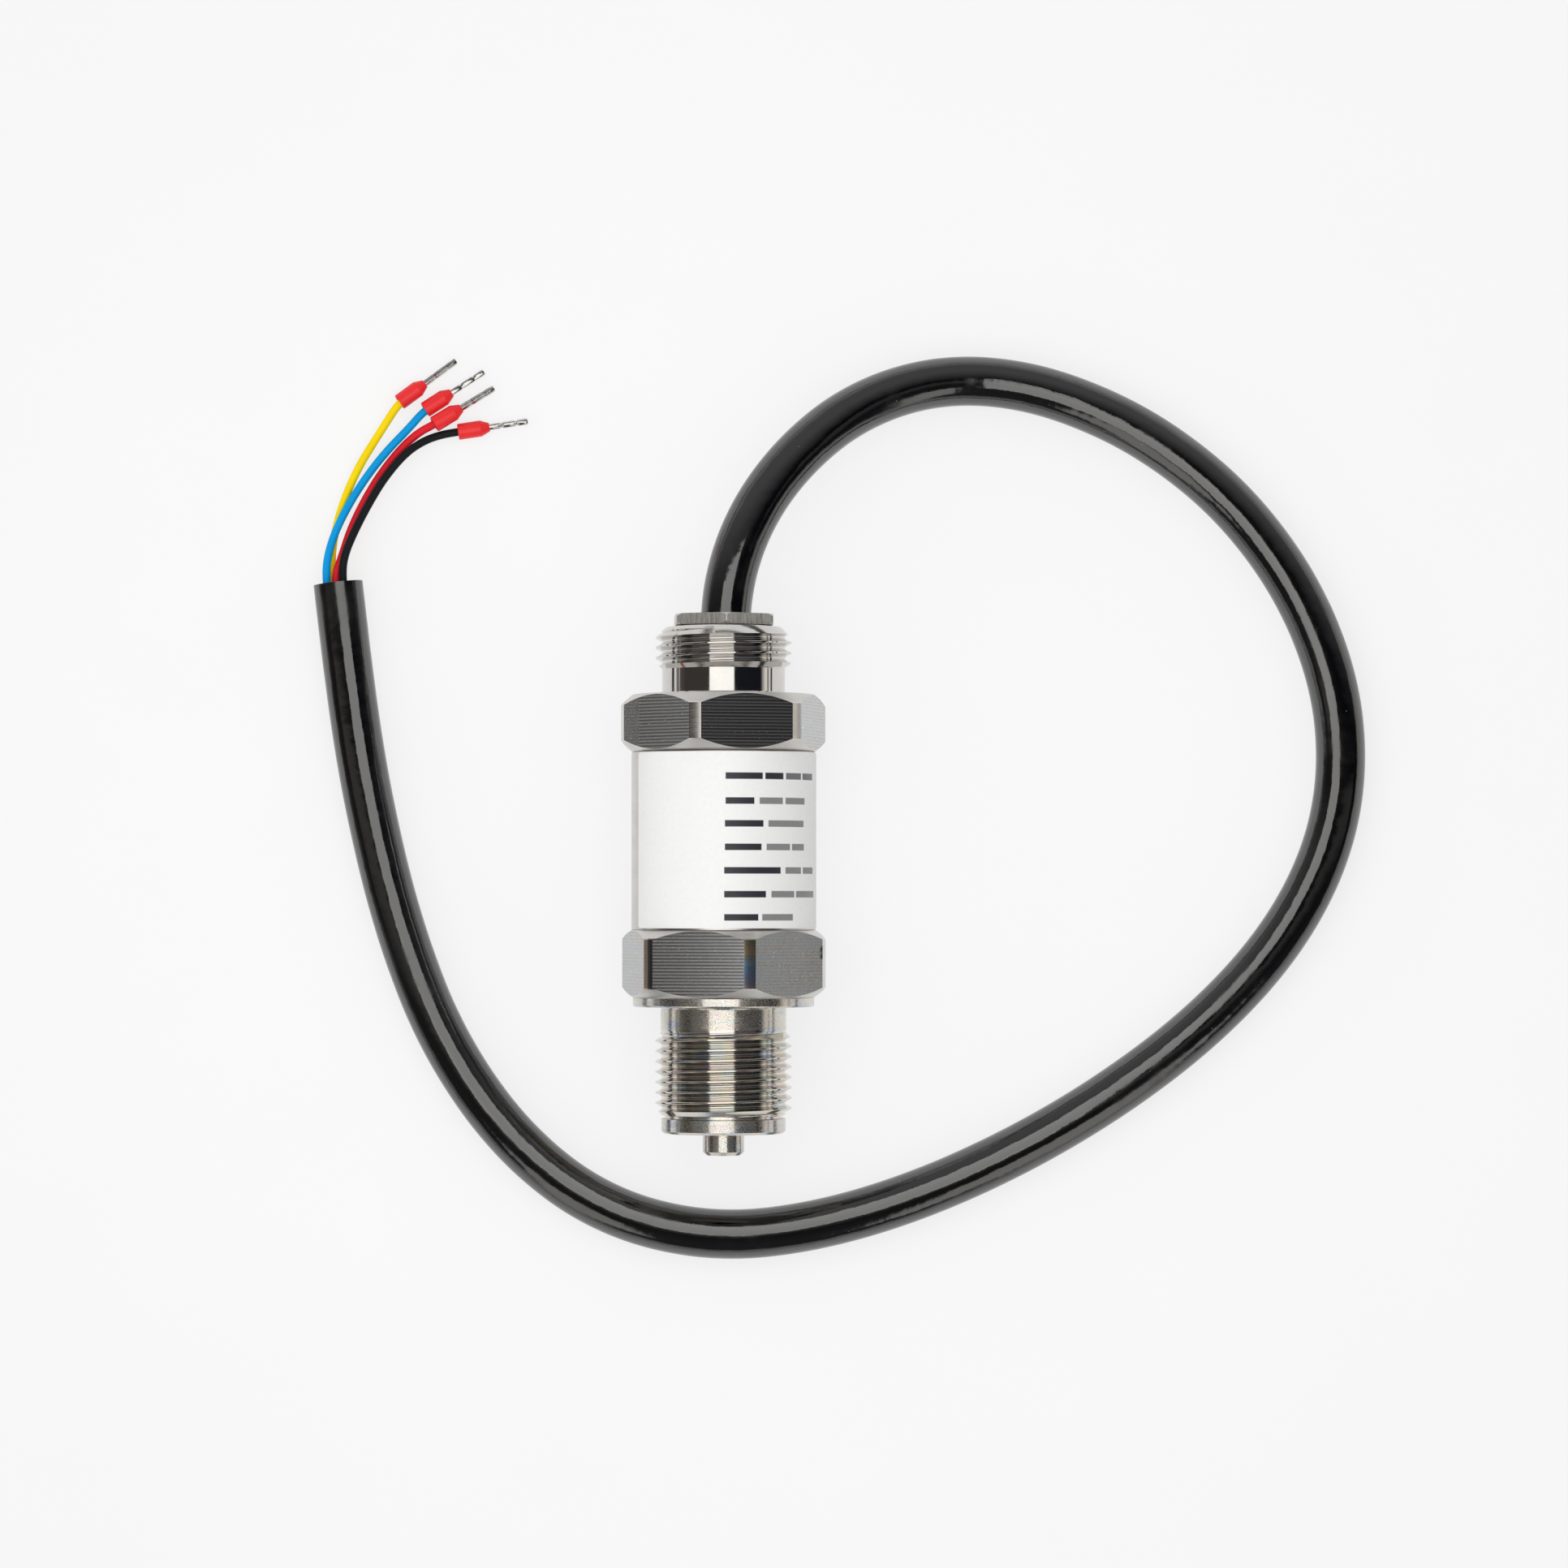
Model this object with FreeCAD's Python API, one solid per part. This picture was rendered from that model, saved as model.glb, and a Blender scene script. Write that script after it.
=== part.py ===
"""Compact pressure transmitter with a threaded cable cap and a pigtail cable, in millimetres.

The transmitter lies on its two hexagons. +Y runs along its axis towards the cable, +Z is up, and the
origin is under the middle of the rigid parts, on the surface that they lie on. Each piece is written
to parts/NODE.step.
"""
import FreeCAD, Part
import math
import os
from FreeCAD import Vector

os.makedirs("parts", exist_ok=True)

# ---------------------------------------------------------------- lengths along the axis, tip to cable
spigot_len = 3.2
nose_len = 2.15
lead_groove_width = 0.45
process_thread_len = 12.25
undercut_len = 3.45
flange_thickness = 1.4
lower_hex_len = 9.8
housing_len = 25.7
upper_hex_len = 8.3
cap_neck_len = 3.7
cap_thread_len = 6.1
gland_gap = 0.25
gland_head_thickness = 1.6

# ---------------------------------------------------------------- outside diameters and hexagons
spigot_diameter = 6.0
nose_diameter = 18.0
lead_groove_depth = 0.5
thread_major_diameter = 19.8
thread_pitch = 1.5
undercut_diameter = 18.2
flange_diameter = 26.3
housing_diameter = 26.7
cap_neck_diameter = 17.9
cap_end_diameter = 17.0
hex_across_flats = 27.0
hex_corner_diameter = 30.2
hex_end_diameter = 26.5
lower_hex_chamfer = 1.42
upper_hex_chamfer = 1.6
hex_turn = 15.0
edge_break = 0.25
nose_chamfer = 0.35
spigot_chamfer = 0.5
thread_lead_chamfer = 0.9
cap_lead_chamfer = 1.5
first_crest_offset = 0.64
cap_thread_runout = 0.95

# ---------------------------------------------------------------- pressure channel and sensor seat
pressure_bore_diameter = 3.0
chamber_diameter = 16.4
chamber_depth = 0.8
chamber_floor = 2.7
sensor_diameter = 19.0
sensor_length = 9.0
seat_clearance = 0.05
diaphragm_diameter = 16.8
diaphragm_thickness = 0.12
diaphragm_recess = 0.4
oil_cavity_diameter = 15.2
oil_cavity_depth = 0.5
chip_pocket_diameter = 4.8
chip_pocket_depth = 1.5
chip_size = 2.6
chip_thickness = 1.0
o_ring_groove_width = 2.4
o_ring_groove_depth = 1.7
o_ring_groove_offset = 3.4
o_ring_corner = 0.5
pin_count = 6
pin_diameter = 0.46
pin_circle_diameter = 9.0
glass_seal_diameter = 1.6
clamp_ring_diameter = 21.8
clamp_ring_bore = 14.4
clamp_ring_thickness = 2.5
clamp_ring_stand = 0.6
key_slot_width = 1.4
key_slot_depth = 1.0

# ---------------------------------------------------------------- electronics
cavity_diameter = 23.0
board_gap = 0.6
compensation_board_diameter = 13.4
board_thickness = 1.0
pin_proud = 0.5
holder_floor_thickness = 1.4
holder_clearance = 0.05
holder_hole_diameter = 9.0
rail_width = 2.6
rail_height = 4.2
rail_length = 9.0
slot_clearance = 0.08
slot_depth = 0.9
sleeve_wall = 0.3
sleeve_clearance = 0.05
signal_board_width = 17.0
signal_board_length = 12.6
signal_board_thickness = 1.2
link_wire_diameter = 0.6
link_wire_spacing = 2.0
inner_lead_diameter = 1.1
inner_lead_spacing = 3.0
inner_lead_offset = 0.9
chip_body = (5.0, 4.0, 1.5)
chip_leg_pitch = 1.27
chip_leg_width = 0.45
chip_leg_foot = 0.3
chip_leg_reach = 1.0
chip_resistor = (2.0, 1.25, 0.5)
resistor_spacing = 2.2
chip_capacitor = (2.0, 1.25, 1.2)
chip_diode = (4.0, 2.6, 2.0)
chip_transistor = (4.5, 6.0, 1.6)

# ---------------------------------------------------------------- cap and gland
mouth_diameter = 23.8
mouth_depth = 7.2
cap_thread_clearance = 0.05
cap_ring_groove_width = 2.2
cap_ring_groove_depth = 1.3
cap_spigot_gap = 0.2
cap_cavity_diameter = 17.2
cap_ledge_thickness = 1.8
cap_ledge_bore = 8.4
gland_bore_diameter = 12.0
gland_bore_depth = 10.0
gland_thread_clearance = 0.05
bush_length = 4.0
washer_thickness = 0.8
gland_across_flats = 14.0
gland_corner_diameter = 16.1
gland_chamfer = 0.4
gland_turn = 33.7
gland_mouth_chamfer = 0.8
cable_clearance = 0.55

# ---------------------------------------------------------------- label
label_thickness = 0.1
label_margin = 0.2
label_start = -65.0
label_wrap = 270.0
label_corner = 0.6

# ---------------------------------------------------------------- cable and its cores
jacket_diameter = 7.3
jacket_tail = 0.5
bend_start = 3.0
recess_diameter = 5.4
recess_depth = 2.0
core_diameter = 1.2
conductor_diameter = 0.72
core_entry = 2.4
core_start_run = 3.0
collar_diameter = 2.4
collar_bore = 1.7
collar_body_len = 3.4
collar_shoulder_len = 1.3
collar_neck_diameter = 1.25
collar_funnel = 0.5
collar_wall_edge = 0.1
ferrule_diameter = 1.0
ferrule_length = 10.4
ferrule_overlap = 1.6
ferrule_mouth = 1.0

# ---------------------------------------------------------------- worked-out places
hex_corner_r = hex_corner_diameter / 2
flat_half_angle = math.degrees(math.acos(hex_across_flats / hex_corner_diameter))
# The transmitter lies on the edge where its lowest flat meets the rounded corner.
axis_height = hex_corner_r * math.cos(math.radians(flat_half_angle - hex_turn))

total_length = (spigot_len + nose_len + lead_groove_width + process_thread_len + undercut_len
                + flange_thickness + lower_hex_len + housing_len + upper_hex_len + cap_neck_len
                + cap_thread_len + gland_gap + gland_head_thickness)
y_tip = -total_length / 2
y_nose = y_tip + spigot_len
y_groove = y_nose + nose_len
y_thread = y_groove + lead_groove_width
y_undercut = y_thread + process_thread_len
y_flange = y_undercut + undercut_len
y_lower_hex = y_flange + flange_thickness
y_housing = y_lower_hex + lower_hex_len
y_upper_hex = y_housing + housing_len
y_neck = y_upper_hex + upper_hex_len
y_cap_thread = y_neck + cap_neck_len
y_cap_end = y_cap_thread + cap_thread_len
y_gland = y_cap_end + gland_gap
y_exit = y_gland + gland_head_thickness

thread_r = thread_major_diameter / 2
thread_depth = 0.6134 * thread_pitch
thread_crest = thread_pitch / 8
thread_root = thread_pitch / 6
thread_flank = (thread_pitch - thread_crest - thread_root) / 2
thread_root_r = thread_r - thread_depth
process_first_crest = y_thread + first_crest_offset
process_crests = int((y_undercut - process_first_crest) / thread_pitch + 0.5)
cap_first_crest = y_cap_thread + cap_thread_runout
cap_crests = int((y_cap_end - cap_first_crest) / thread_pitch + 1)

y_chamber = y_flange + chamber_floor
y_seat = y_chamber + chamber_depth
y_cell_back = y_seat + sensor_length
y_ring_bore = y_cell_back - clamp_ring_stand
y_cavity = y_cell_back + clamp_ring_thickness
y_mouth = y_upper_hex - mouth_depth
y_comp_board = y_cell_back + board_gap
y_comp_top = y_comp_board + board_thickness
y_holder_top = y_cavity + holder_floor_thickness
y_signal_top = y_holder_top + signal_board_length
y_bush = y_cap_end - gland_bore_depth
y_washer = y_bush + bush_length
y_shank = y_washer + washer_thickness
y_cap_spigot = y_mouth + cap_spigot_gap

seat_r = sensor_diameter / 2 + seat_clearance
ring_bore_r = clamp_ring_diameter / 2 + seat_clearance
cavity_r = cavity_diameter / 2
mouth_r = mouth_diameter / 2
sleeve_outer_r = cavity_r - sleeve_clearance
sleeve_inner_r = sleeve_outer_r - sleeve_wall
board_top = axis_height + signal_board_thickness / 2
board_bottom = axis_height - signal_board_thickness / 2
jacket_r = jacket_diameter / 2
gland_hole_r = jacket_r + cable_clearance

AXIS = Vector(0, 0, axis_height)
ALONG = Vector(0, 1, 0)
UP = Vector(0, 0, 1)


# ---------------------------------------------------------------- building blocks
def turned(profile, origin=AXIS, direction=ALONG):
    """Solid of revolution from (distance along the axis, radius) points."""
    corners = [Vector(r, 0, s) for s, r in profile]
    face = Part.Face(Part.makePolygon(corners + corners[:1]))
    solid = face.revolve(Vector(0, 0, 0), UP, 360)
    solid.Placement = FreeCAD.Placement(origin, FreeCAD.Rotation(UP, direction))
    return solid


def ring(start, end, outer_r, inner_r=0.0):
    """Plain ring, or disc, on the transmitter's axis."""
    return turned([(start, inner_r), (start, outer_r), (end, outer_r), (end, inner_r)])


def soft_ring(start, end, outer_r, inner_r, corner):
    """Squeezed seal: a ring whose section has cut corners."""
    return turned([(start, inner_r + corner), (start, outer_r - corner), (start + corner, outer_r),
                   (end - corner, outer_r), (end, outer_r - corner), (end, inner_r + corner),
                   (end - corner, inner_r), (start + corner, inner_r)])


def box(x, y, z, centre=(0, 0, 0)):
    """Box of size x, y, z about a centre."""
    corner = Vector(centre[0] - x / 2, centre[1] - y / 2, centre[2] - z / 2)
    return Part.makeBox(x, y, z, corner)


def around(angle, radius, y):
    """Point at an angle from straight up, turning towards +X, on a circle about the axis."""
    a = math.radians(angle)
    return Vector(radius * math.sin(a), y, axis_height + radius * math.cos(a))


def hexagon(start, end, across_flats, turn):
    """Hexagonal prism with one flat's normal at an angle from straight up."""
    corner_r = across_flats / 2 / math.cos(math.radians(30))
    corners = [around(turn + 30 + 60 * k, corner_r, start) for k in range(6)]
    face = Part.Face(Part.makePolygon(corners + corners[:1]))
    return face.extrude(Vector(0, end - start, 0))


def turned_hexagon(start, end, across_flats, corner_r, end_r, chamfer, turn):
    """Hexagon whose corners are turned round and chamfered at both ends."""
    blank = turned([(start, 0), (start, end_r), (start + chamfer, corner_r),
                    (end - chamfer, corner_r), (end, end_r), (end, 0)])
    return hexagon(start, end, across_flats, turn).common(blank)


def ridges(first_crest, count, limit):
    """Profile of thread ridges, one pitch apart, no higher than limit(y)."""
    points = []
    for i in range(count):
        crest = first_crest + i * thread_pitch
        for offset, r in ((-thread_crest / 2 - thread_flank, thread_root_r),
                          (-thread_crest / 2, thread_r),
                          (thread_crest / 2, thread_r),
                          (thread_crest / 2 + thread_flank, thread_root_r)):
            y = crest + offset
            points.append((y, max(thread_root_r, min(r, limit(y)))))
    return points


def arc_corner(before, corner, after):
    """Tangent points, middle point and radius of the arc that rounds a corner of a route."""
    back = before - corner
    ahead = after - corner
    reach = 0.45 * min(back.Length, ahead.Length)
    back.normalize()
    ahead.normalize()
    half_turn = (math.pi - back.getAngle(ahead)) / 2
    radius = reach / math.tan(half_turn)
    bisector = back + ahead
    bisector.normalize()
    middle = corner + bisector * (math.hypot(radius, reach) - radius)
    return corner + back * reach, middle, corner + ahead * reach, radius


def tube(name, route, diameter):
    """Round tube along straight runs joined by tangent arcs."""
    edges = []
    radii = []
    last = route[0]
    for before, corner, after in zip(route, route[1:], route[2:]):
        first, middle, second, radius = arc_corner(before, corner, after)
        edges.append(Part.LineSegment(last, first).toShape())
        edges.append(Part.Arc(first, middle, second).toShape())
        radii.append(radius)
        last = second
    edges.append(Part.LineSegment(last, route[-1]).toShape())
    path = Part.Wire(edges)
    section = Part.Circle(route[0], route[1] - route[0], diameter / 2).toShape()
    solid = path.makePipeShell([Part.Wire(section)], True, False)
    expected = math.pi * diameter ** 2 / 4 * path.Length
    print(f"{name}: length {path.Length:.1f}, volume / expected {solid.Volume / expected:.4f}, radii",
          " ".join(f"{r:.0f}" for r in radii))
    return solid


# ---------------------------------------------------------------- process connection and housing
def pressure_body():
    """Spigot, nose, process thread, flange, lower hexagon and housing tube, turned from one bar."""
    spigot_r = spigot_diameter / 2
    nose_r = nose_diameter / 2
    flange_r = flange_diameter / 2
    housing_r = housing_diameter / 2
    undercut_r = undercut_diameter / 2
    outside = [(y_tip, 0), (y_tip, spigot_r - spigot_chamfer), (y_tip + spigot_chamfer, spigot_r),
               (y_nose, spigot_r), (y_nose, nose_r - nose_chamfer), (y_nose + nose_chamfer, nose_r),
               (y_groove, nose_r), (y_groove, nose_r - lead_groove_depth),
               (y_thread, nose_r - lead_groove_depth), (y_thread, thread_r - thread_lead_chamfer)]
    outside += ridges(process_first_crest, process_crests,
                      lambda y: thread_r - thread_lead_chamfer + (y - y_thread))
    outside += [(y_undercut, undercut_r), (y_flange - edge_break, undercut_r),
                (y_flange, undercut_r + edge_break), (y_flange, flange_r - edge_break),
                (y_flange + edge_break, flange_r), (y_lower_hex, flange_r),
                (y_housing, hex_end_diameter / 2), (y_housing, housing_r),
                (y_upper_hex - edge_break, housing_r), (y_upper_hex, housing_r - edge_break),
                (y_upper_hex, 0)]
    hexed = turned_hexagon(y_lower_hex, y_housing, hex_across_flats, hex_corner_r,
                           hex_end_diameter / 2, lower_hex_chamfer, -hex_turn)
    bore_r = pressure_bore_diameter / 2
    chamber_r = chamber_diameter / 2
    inside = [(y_tip, 0), (y_tip, bore_r), (y_chamber, bore_r), (y_chamber, chamber_r),
              (y_seat, chamber_r), (y_seat, seat_r), (y_ring_bore, seat_r), (y_ring_bore, ring_bore_r),
              (y_cavity, ring_bore_r), (y_cavity, cavity_r), (y_mouth, cavity_r), (y_mouth, mouth_r),
              (y_upper_hex, mouth_r), (y_upper_hex, 0)]
    return turned(outside).fuse(hexed).removeSplitter().cut(turned(inside))


# ---------------------------------------------------------------- pressure sensor
def pin_places():
    """Centres of the sensor's pins, as angles about the axis."""
    return [360 / pin_count * k for k in range(pin_count)]


def pin_rods(start, end, radius):
    """One rod at each pin place."""
    return [Part.makeCylinder(radius, end - start, around(a, pin_circle_diameter / 2, start), ALONG)
            for a in pin_places()]


def sensor_cell():
    """Steel header with its seal groove, oil cavity, chip pocket and pin holes."""
    outer_r = sensor_diameter / 2
    groove = y_seat + o_ring_groove_offset
    outside = [(y_seat, 0), (y_seat, outer_r), (groove, outer_r),
               (groove, outer_r - o_ring_groove_depth),
               (groove + o_ring_groove_width, outer_r - o_ring_groove_depth),
               (groove + o_ring_groove_width, outer_r), (y_cell_back, outer_r), (y_cell_back, 0)]
    ledge = y_seat + diaphragm_recess
    pocket = ledge + oil_cavity_depth
    inside = [(y_seat, 0), (y_seat, diaphragm_diameter / 2), (ledge, diaphragm_diameter / 2),
              (ledge, oil_cavity_diameter / 2), (pocket, oil_cavity_diameter / 2),
              (pocket, chip_pocket_diameter / 2), (pocket + chip_pocket_depth, chip_pocket_diameter / 2),
              (pocket + chip_pocket_depth, 0)]
    holes = pin_rods(pocket, y_cell_back, glass_seal_diameter / 2)
    return turned(outside).cut(turned(inside)).cut(Part.makeCompound(holes))


def sensor_diaphragm():
    """Thin steel disc that closes the oil cavity."""
    ledge = y_seat + diaphragm_recess
    return ring(ledge - diaphragm_thickness, ledge, diaphragm_diameter / 2)


def sensor_chip():
    """Silicon bridge on the floor of its pocket."""
    floor = y_seat + diaphragm_recess + oil_cavity_depth + chip_pocket_depth
    return box(chip_size, chip_thickness, chip_size, (0, floor - chip_thickness / 2, axis_height))


def pin_glass_seals():
    """Glass beads that insulate the pins from the header."""
    start = y_seat + diaphragm_recess + oil_cavity_depth
    beads = Part.makeCompound(pin_rods(start, y_cell_back, glass_seal_diameter / 2))
    return beads.cut(Part.makeCompound(pin_rods(start, y_cell_back, pin_diameter / 2)))


def sensor_pins():
    """Gold-plated pins from the oil cavity through the round board."""
    start = y_seat + diaphragm_recess + oil_cavity_depth
    return Part.makeCompound(pin_rods(start, y_comp_top + pin_proud, pin_diameter / 2))


def sensor_o_ring():
    """Seal squeezed between the sensor's groove and the seat."""
    middle = y_seat + o_ring_groove_offset + o_ring_groove_width / 2
    half = o_ring_groove_width / 2 - seat_clearance
    return soft_ring(middle - half, middle + half, seat_r, sensor_diameter / 2 - o_ring_groove_depth,
                     o_ring_corner)


def clamp_ring():
    """Threaded ring that holds the sensor down, with two slots for a pin spanner."""
    body = ring(y_cell_back, y_cavity, clamp_ring_diameter / 2, clamp_ring_bore / 2)
    slot = box(clamp_ring_diameter, key_slot_depth, key_slot_width,
               (0, y_cavity - key_slot_depth / 2, axis_height))
    return body.cut(slot)


def compensation_board():
    """Round board soldered on the sensor's pins."""
    disc = ring(y_comp_board, y_comp_top, compensation_board_diameter / 2)
    return disc.cut(Part.makeCompound(pin_rods(y_comp_board, y_comp_top, pin_diameter / 2)))


def trim_resistors():
    """Chip resistors on the round board."""
    length, width, height = chip_resistor
    return Part.makeCompound([box(length, height, width,
                                  (0, y_comp_top + height / 2, axis_height - k * resistor_spacing))
                              for k in (0, 1)])


# ---------------------------------------------------------------- electronics
def board_holder():
    """Moulded holder: a floor with a wire hole and two slotted rails for the signal board."""
    floor = ring(y_cavity, y_holder_top, sleeve_inner_r - holder_clearance, holder_hole_diameter / 2)
    edge = signal_board_width / 2
    rail_x = edge - slot_depth + rail_width / 2
    slot_height = signal_board_thickness + 2 * slot_clearance
    rail_y = y_holder_top + rail_length / 2
    solid = floor
    for side in (-1, 1):
        solid = solid.fuse(box(rail_width, rail_length, rail_height, (side * rail_x, rail_y, axis_height)))
    slot = box(2 * (edge + slot_clearance), rail_length, slot_height, (0, rail_y, axis_height))
    return solid.cut(slot).removeSplitter()


def signal_board():
    """Amplifier board, its edges in the holder's rails."""
    middle = (0, y_holder_top + signal_board_length / 2, axis_height)
    return box(signal_board_width, signal_board_length, signal_board_thickness, middle)


def amplifier_chip():
    """Moulded circuit with four legs on each side."""
    length, width, height = chip_body
    middle_y = y_holder_top + signal_board_length * 0.56
    body = box(width, length, height - chip_leg_foot,
               (0, middle_y, board_top + chip_leg_foot + (height - chip_leg_foot) / 2))
    solid = body
    for k in range(4):
        y = middle_y + (k - 1.5) * chip_leg_pitch
        solid = solid.fuse(box(width + 2 * chip_leg_reach, chip_leg_width, chip_leg_foot,
                               (0, y, board_top + chip_leg_foot / 2)))
    return solid.removeSplitter()


def board_parts(sizes, places, level, side):
    """Like chip parts on one face of the signal board; places are (x, distance from the holder)."""
    length, width, height = sizes
    return Part.makeCompound([box(width, length, height, (x, y_holder_top + y, level + side * height / 2))
                              for x, y in places])


def link_wires():
    """Four wires from the round board to the signal board."""
    r = link_wire_diameter / 2
    high = axis_height + holder_hole_diameter / 4
    wires = []
    for k in range(4):
        x = (k - 1.5) * link_wire_spacing
        route = [Vector(x, y_comp_top, high), Vector(x, y_comp_top + 1.7, high),
                 Vector(x, y_holder_top + 1.8, board_top + r), Vector(x, y_holder_top + 3.6, board_top + r)]
        wires.append(tube(f"link wire {k + 1}", route, link_wire_diameter))
    return Part.makeCompound(wires)


def inner_lead(index):
    """One cable core inside the cap, from the jacket's end to its pad on the signal board."""
    side = -1 if index < 2 else 1
    level = 1 if index in (0, 3) else -1
    x = (index - 1.5) * inner_lead_spacing
    near_x = side * inner_lead_offset
    near_z = axis_height + level * inner_lead_offset
    lift = board_top + inner_lead_diameter / 2
    start = y_bush - jacket_tail
    route = [Vector(near_x, start, near_z), Vector(near_x, start - 4, near_z),
             Vector(x, y_signal_top + 4, lift + 0.5), Vector(x, y_signal_top - 0.3, lift),
             Vector(x, y_signal_top - 2.6, lift)]
    return tube(f"inner lead {index + 1}", route, inner_lead_diameter)


def insulating_sleeve():
    """Plastic tube between the electronics and the housing wall."""
    return ring(y_cavity, y_mouth, sleeve_outer_r, sleeve_inner_r)


# ---------------------------------------------------------------- cap and cable gland
def cable_cap():
    """Upper hexagon, smooth neck and male thread, screwed into the housing's mouth."""
    neck_r = cap_neck_diameter / 2
    end_r = cap_end_diameter / 2
    spigot_r = mouth_r - cap_thread_clearance
    groove_r = mouth_r - cap_ring_groove_depth
    slope = (thread_r - end_r) / cap_lead_chamfer
    y_ring_groove = y_upper_hex - cap_ring_groove_width
    outside = [(y_cap_spigot, 0), (y_cap_spigot, spigot_r - edge_break),
               (y_cap_spigot + edge_break, spigot_r), (y_ring_groove, spigot_r),
               (y_ring_groove, groove_r), (y_upper_hex, groove_r),
               (y_upper_hex, hex_end_diameter / 2), (y_neck, hex_end_diameter / 2), (y_neck, neck_r),
               (y_cap_thread, neck_r)]
    outside += ridges(cap_first_crest, cap_crests, lambda y: end_r + (y_cap_end - y) * slope)[1:]
    outside += [(y_cap_end, end_r), (y_cap_end, 0)]
    hexed = turned_hexagon(y_upper_hex, y_neck, hex_across_flats, hex_corner_r,
                           hex_end_diameter / 2, upper_hex_chamfer, hex_turn)
    cavity = cap_cavity_diameter / 2
    ledge = y_bush - cap_ledge_thickness
    inside = [(y_cap_spigot, 0), (y_cap_spigot, cavity), (ledge, cavity), (ledge, cap_ledge_bore / 2),
              (y_bush, cap_ledge_bore / 2), (y_bush, gland_bore_diameter / 2),
              (y_cap_end, gland_bore_diameter / 2), (y_cap_end, 0)]
    return turned(outside).fuse(hexed).removeSplitter().cut(turned(inside))


def cap_o_ring():
    """Seal between the cap and the housing's mouth."""
    start = y_upper_hex - cap_ring_groove_width + seat_clearance
    return soft_ring(start, y_upper_hex - seat_clearance, mouth_r, mouth_r - cap_ring_groove_depth,
                     o_ring_corner)


def cable_seal_bush():
    """Rubber bush squeezed onto the cable by the gland nut."""
    return ring(y_bush, y_washer, gland_bore_diameter / 2, jacket_r)


def gland_washer():
    """Slip washer between the bush and the gland nut."""
    return ring(y_washer, y_shank, gland_bore_diameter / 2 - gland_thread_clearance, gland_hole_r)


def gland_nut():
    """Thin hexagon head on a threaded shank, bored for the cable."""
    head = turned_hexagon(y_gland, y_exit, gland_across_flats, gland_corner_diameter / 2,
                          gland_corner_diameter / 2 - gland_chamfer, gland_chamfer, gland_turn)
    shank = ring(y_shank, y_gland, gland_bore_diameter / 2 - gland_thread_clearance)
    hole = turned([(y_shank, 0), (y_shank, gland_hole_r), (y_exit - gland_mouth_chamfer, gland_hole_r),
                   (y_exit, gland_hole_r + gland_mouth_chamfer), (y_exit, 0)])
    return head.fuse(shank).removeSplitter().cut(hole)


def label():
    """Thin label round most of the housing, with rounded corners."""
    low = y_housing + label_margin
    high = y_upper_hex - label_margin
    inner = housing_diameter / 2
    corners = [around(label_start, r, y) for r, y in ((inner, low), (inner + label_thickness, low),
                                                      (inner + label_thickness, high), (inner, high))]
    face = Part.Face(Part.makePolygon(corners + corners[:1]))
    film = face.revolve(AXIS, ALONG, label_wrap)
    short = [edge for edge in film.Edges if edge.Length < 2 * label_thickness]
    return film.makeFillet(label_corner, short)


# ---------------------------------------------------------------- cable
def jacket_route():
    """Out of the gland, down to the surface, once round the transmitter and up its left side."""
    rest = jacket_r
    free = [(1.0, 45.8, 14.5), (4.6, 54.9, 13.0), (10.6, 63.0, 10.4), (18.5, 69.7, 7.2),
            (28.3, 73.8, 4.8), (38.8, 74.6, 3.8), (50.3, 72.2, rest), (63.6, 65.9, rest),
            (76.3, 55.4, rest), (86.0, 41.3, rest), (91.1, 25.4, rest), (90.4, 8.8, rest),
            (83.4, -6.7, rest), (70.8, -20.8, rest), (53.2, -33.7, rest), (33.6, -43.9, rest),
            (15.0, -50.1, rest), (-2.0, -52.0, rest), (-18.1, -47.9, rest), (-31.2, -37.9, rest),
            (-41.5, -23.2, rest), (-48.0, -6.4, rest), (-52.4, 11.6, rest), (-55.2, 28.6, rest),
            (-57.0, 44.5, rest)]
    inside = [Vector(0, y_bush - jacket_tail, axis_height), Vector(0, y_exit - bend_start, axis_height)]
    return inside + [Vector(*point) for point in free]


def cable_jacket():
    """Cable jacket, with a shallow recess at its cut end where the cores come out."""
    route = jacket_route()
    solid = tube("cable jacket", route, jacket_diameter)
    back = route[-2] - route[-1]
    recess = turned([(0, 0), (0, recess_diameter / 2), (recess_depth, recess_diameter / 2),
                     (recess_depth, 0)], route[-1], back)
    return solid.cut(recess)


def core_start(sideways, upwards):
    """First two points of a core, square to the floor of the jacket's recess."""
    route = jacket_route()
    ahead = route[-1] - route[-2]
    ahead.normalize()
    floor = route[-1] - ahead * recess_depth
    first = floor + ahead.cross(UP) * sideways + UP * upwards
    return [first, first + ahead * core_start_run]


def core_route(colour):
    """Route of a core: out of the jacket, along the surface and into its ferrule."""
    start, middle, back, tip = CORES[colour]
    axis = ferrule_axis(colour)
    return (core_start(*start) + [Vector(*point) for point in middle]
            + [Vector(*back), Vector(*back) + axis * core_entry])


def ferrule_axis(colour):
    """Direction of a ferrule, from its collar's back to its tip."""
    start, middle, back, tip = CORES[colour]
    axis = Vector(*tip) - Vector(*back)
    return axis.normalize()


def core(colour):
    """Insulated core with its bare conductor inside the ferrule."""
    route = core_route(colour)
    axis = ferrule_axis(colour)
    length = ferrule_length - core_entry - ferrule_mouth
    conductor = Part.makeCylinder(conductor_diameter / 2, length, route[-1], axis)
    return tube(f"{colour} core", route, core_diameter).fuse(conductor)


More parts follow.
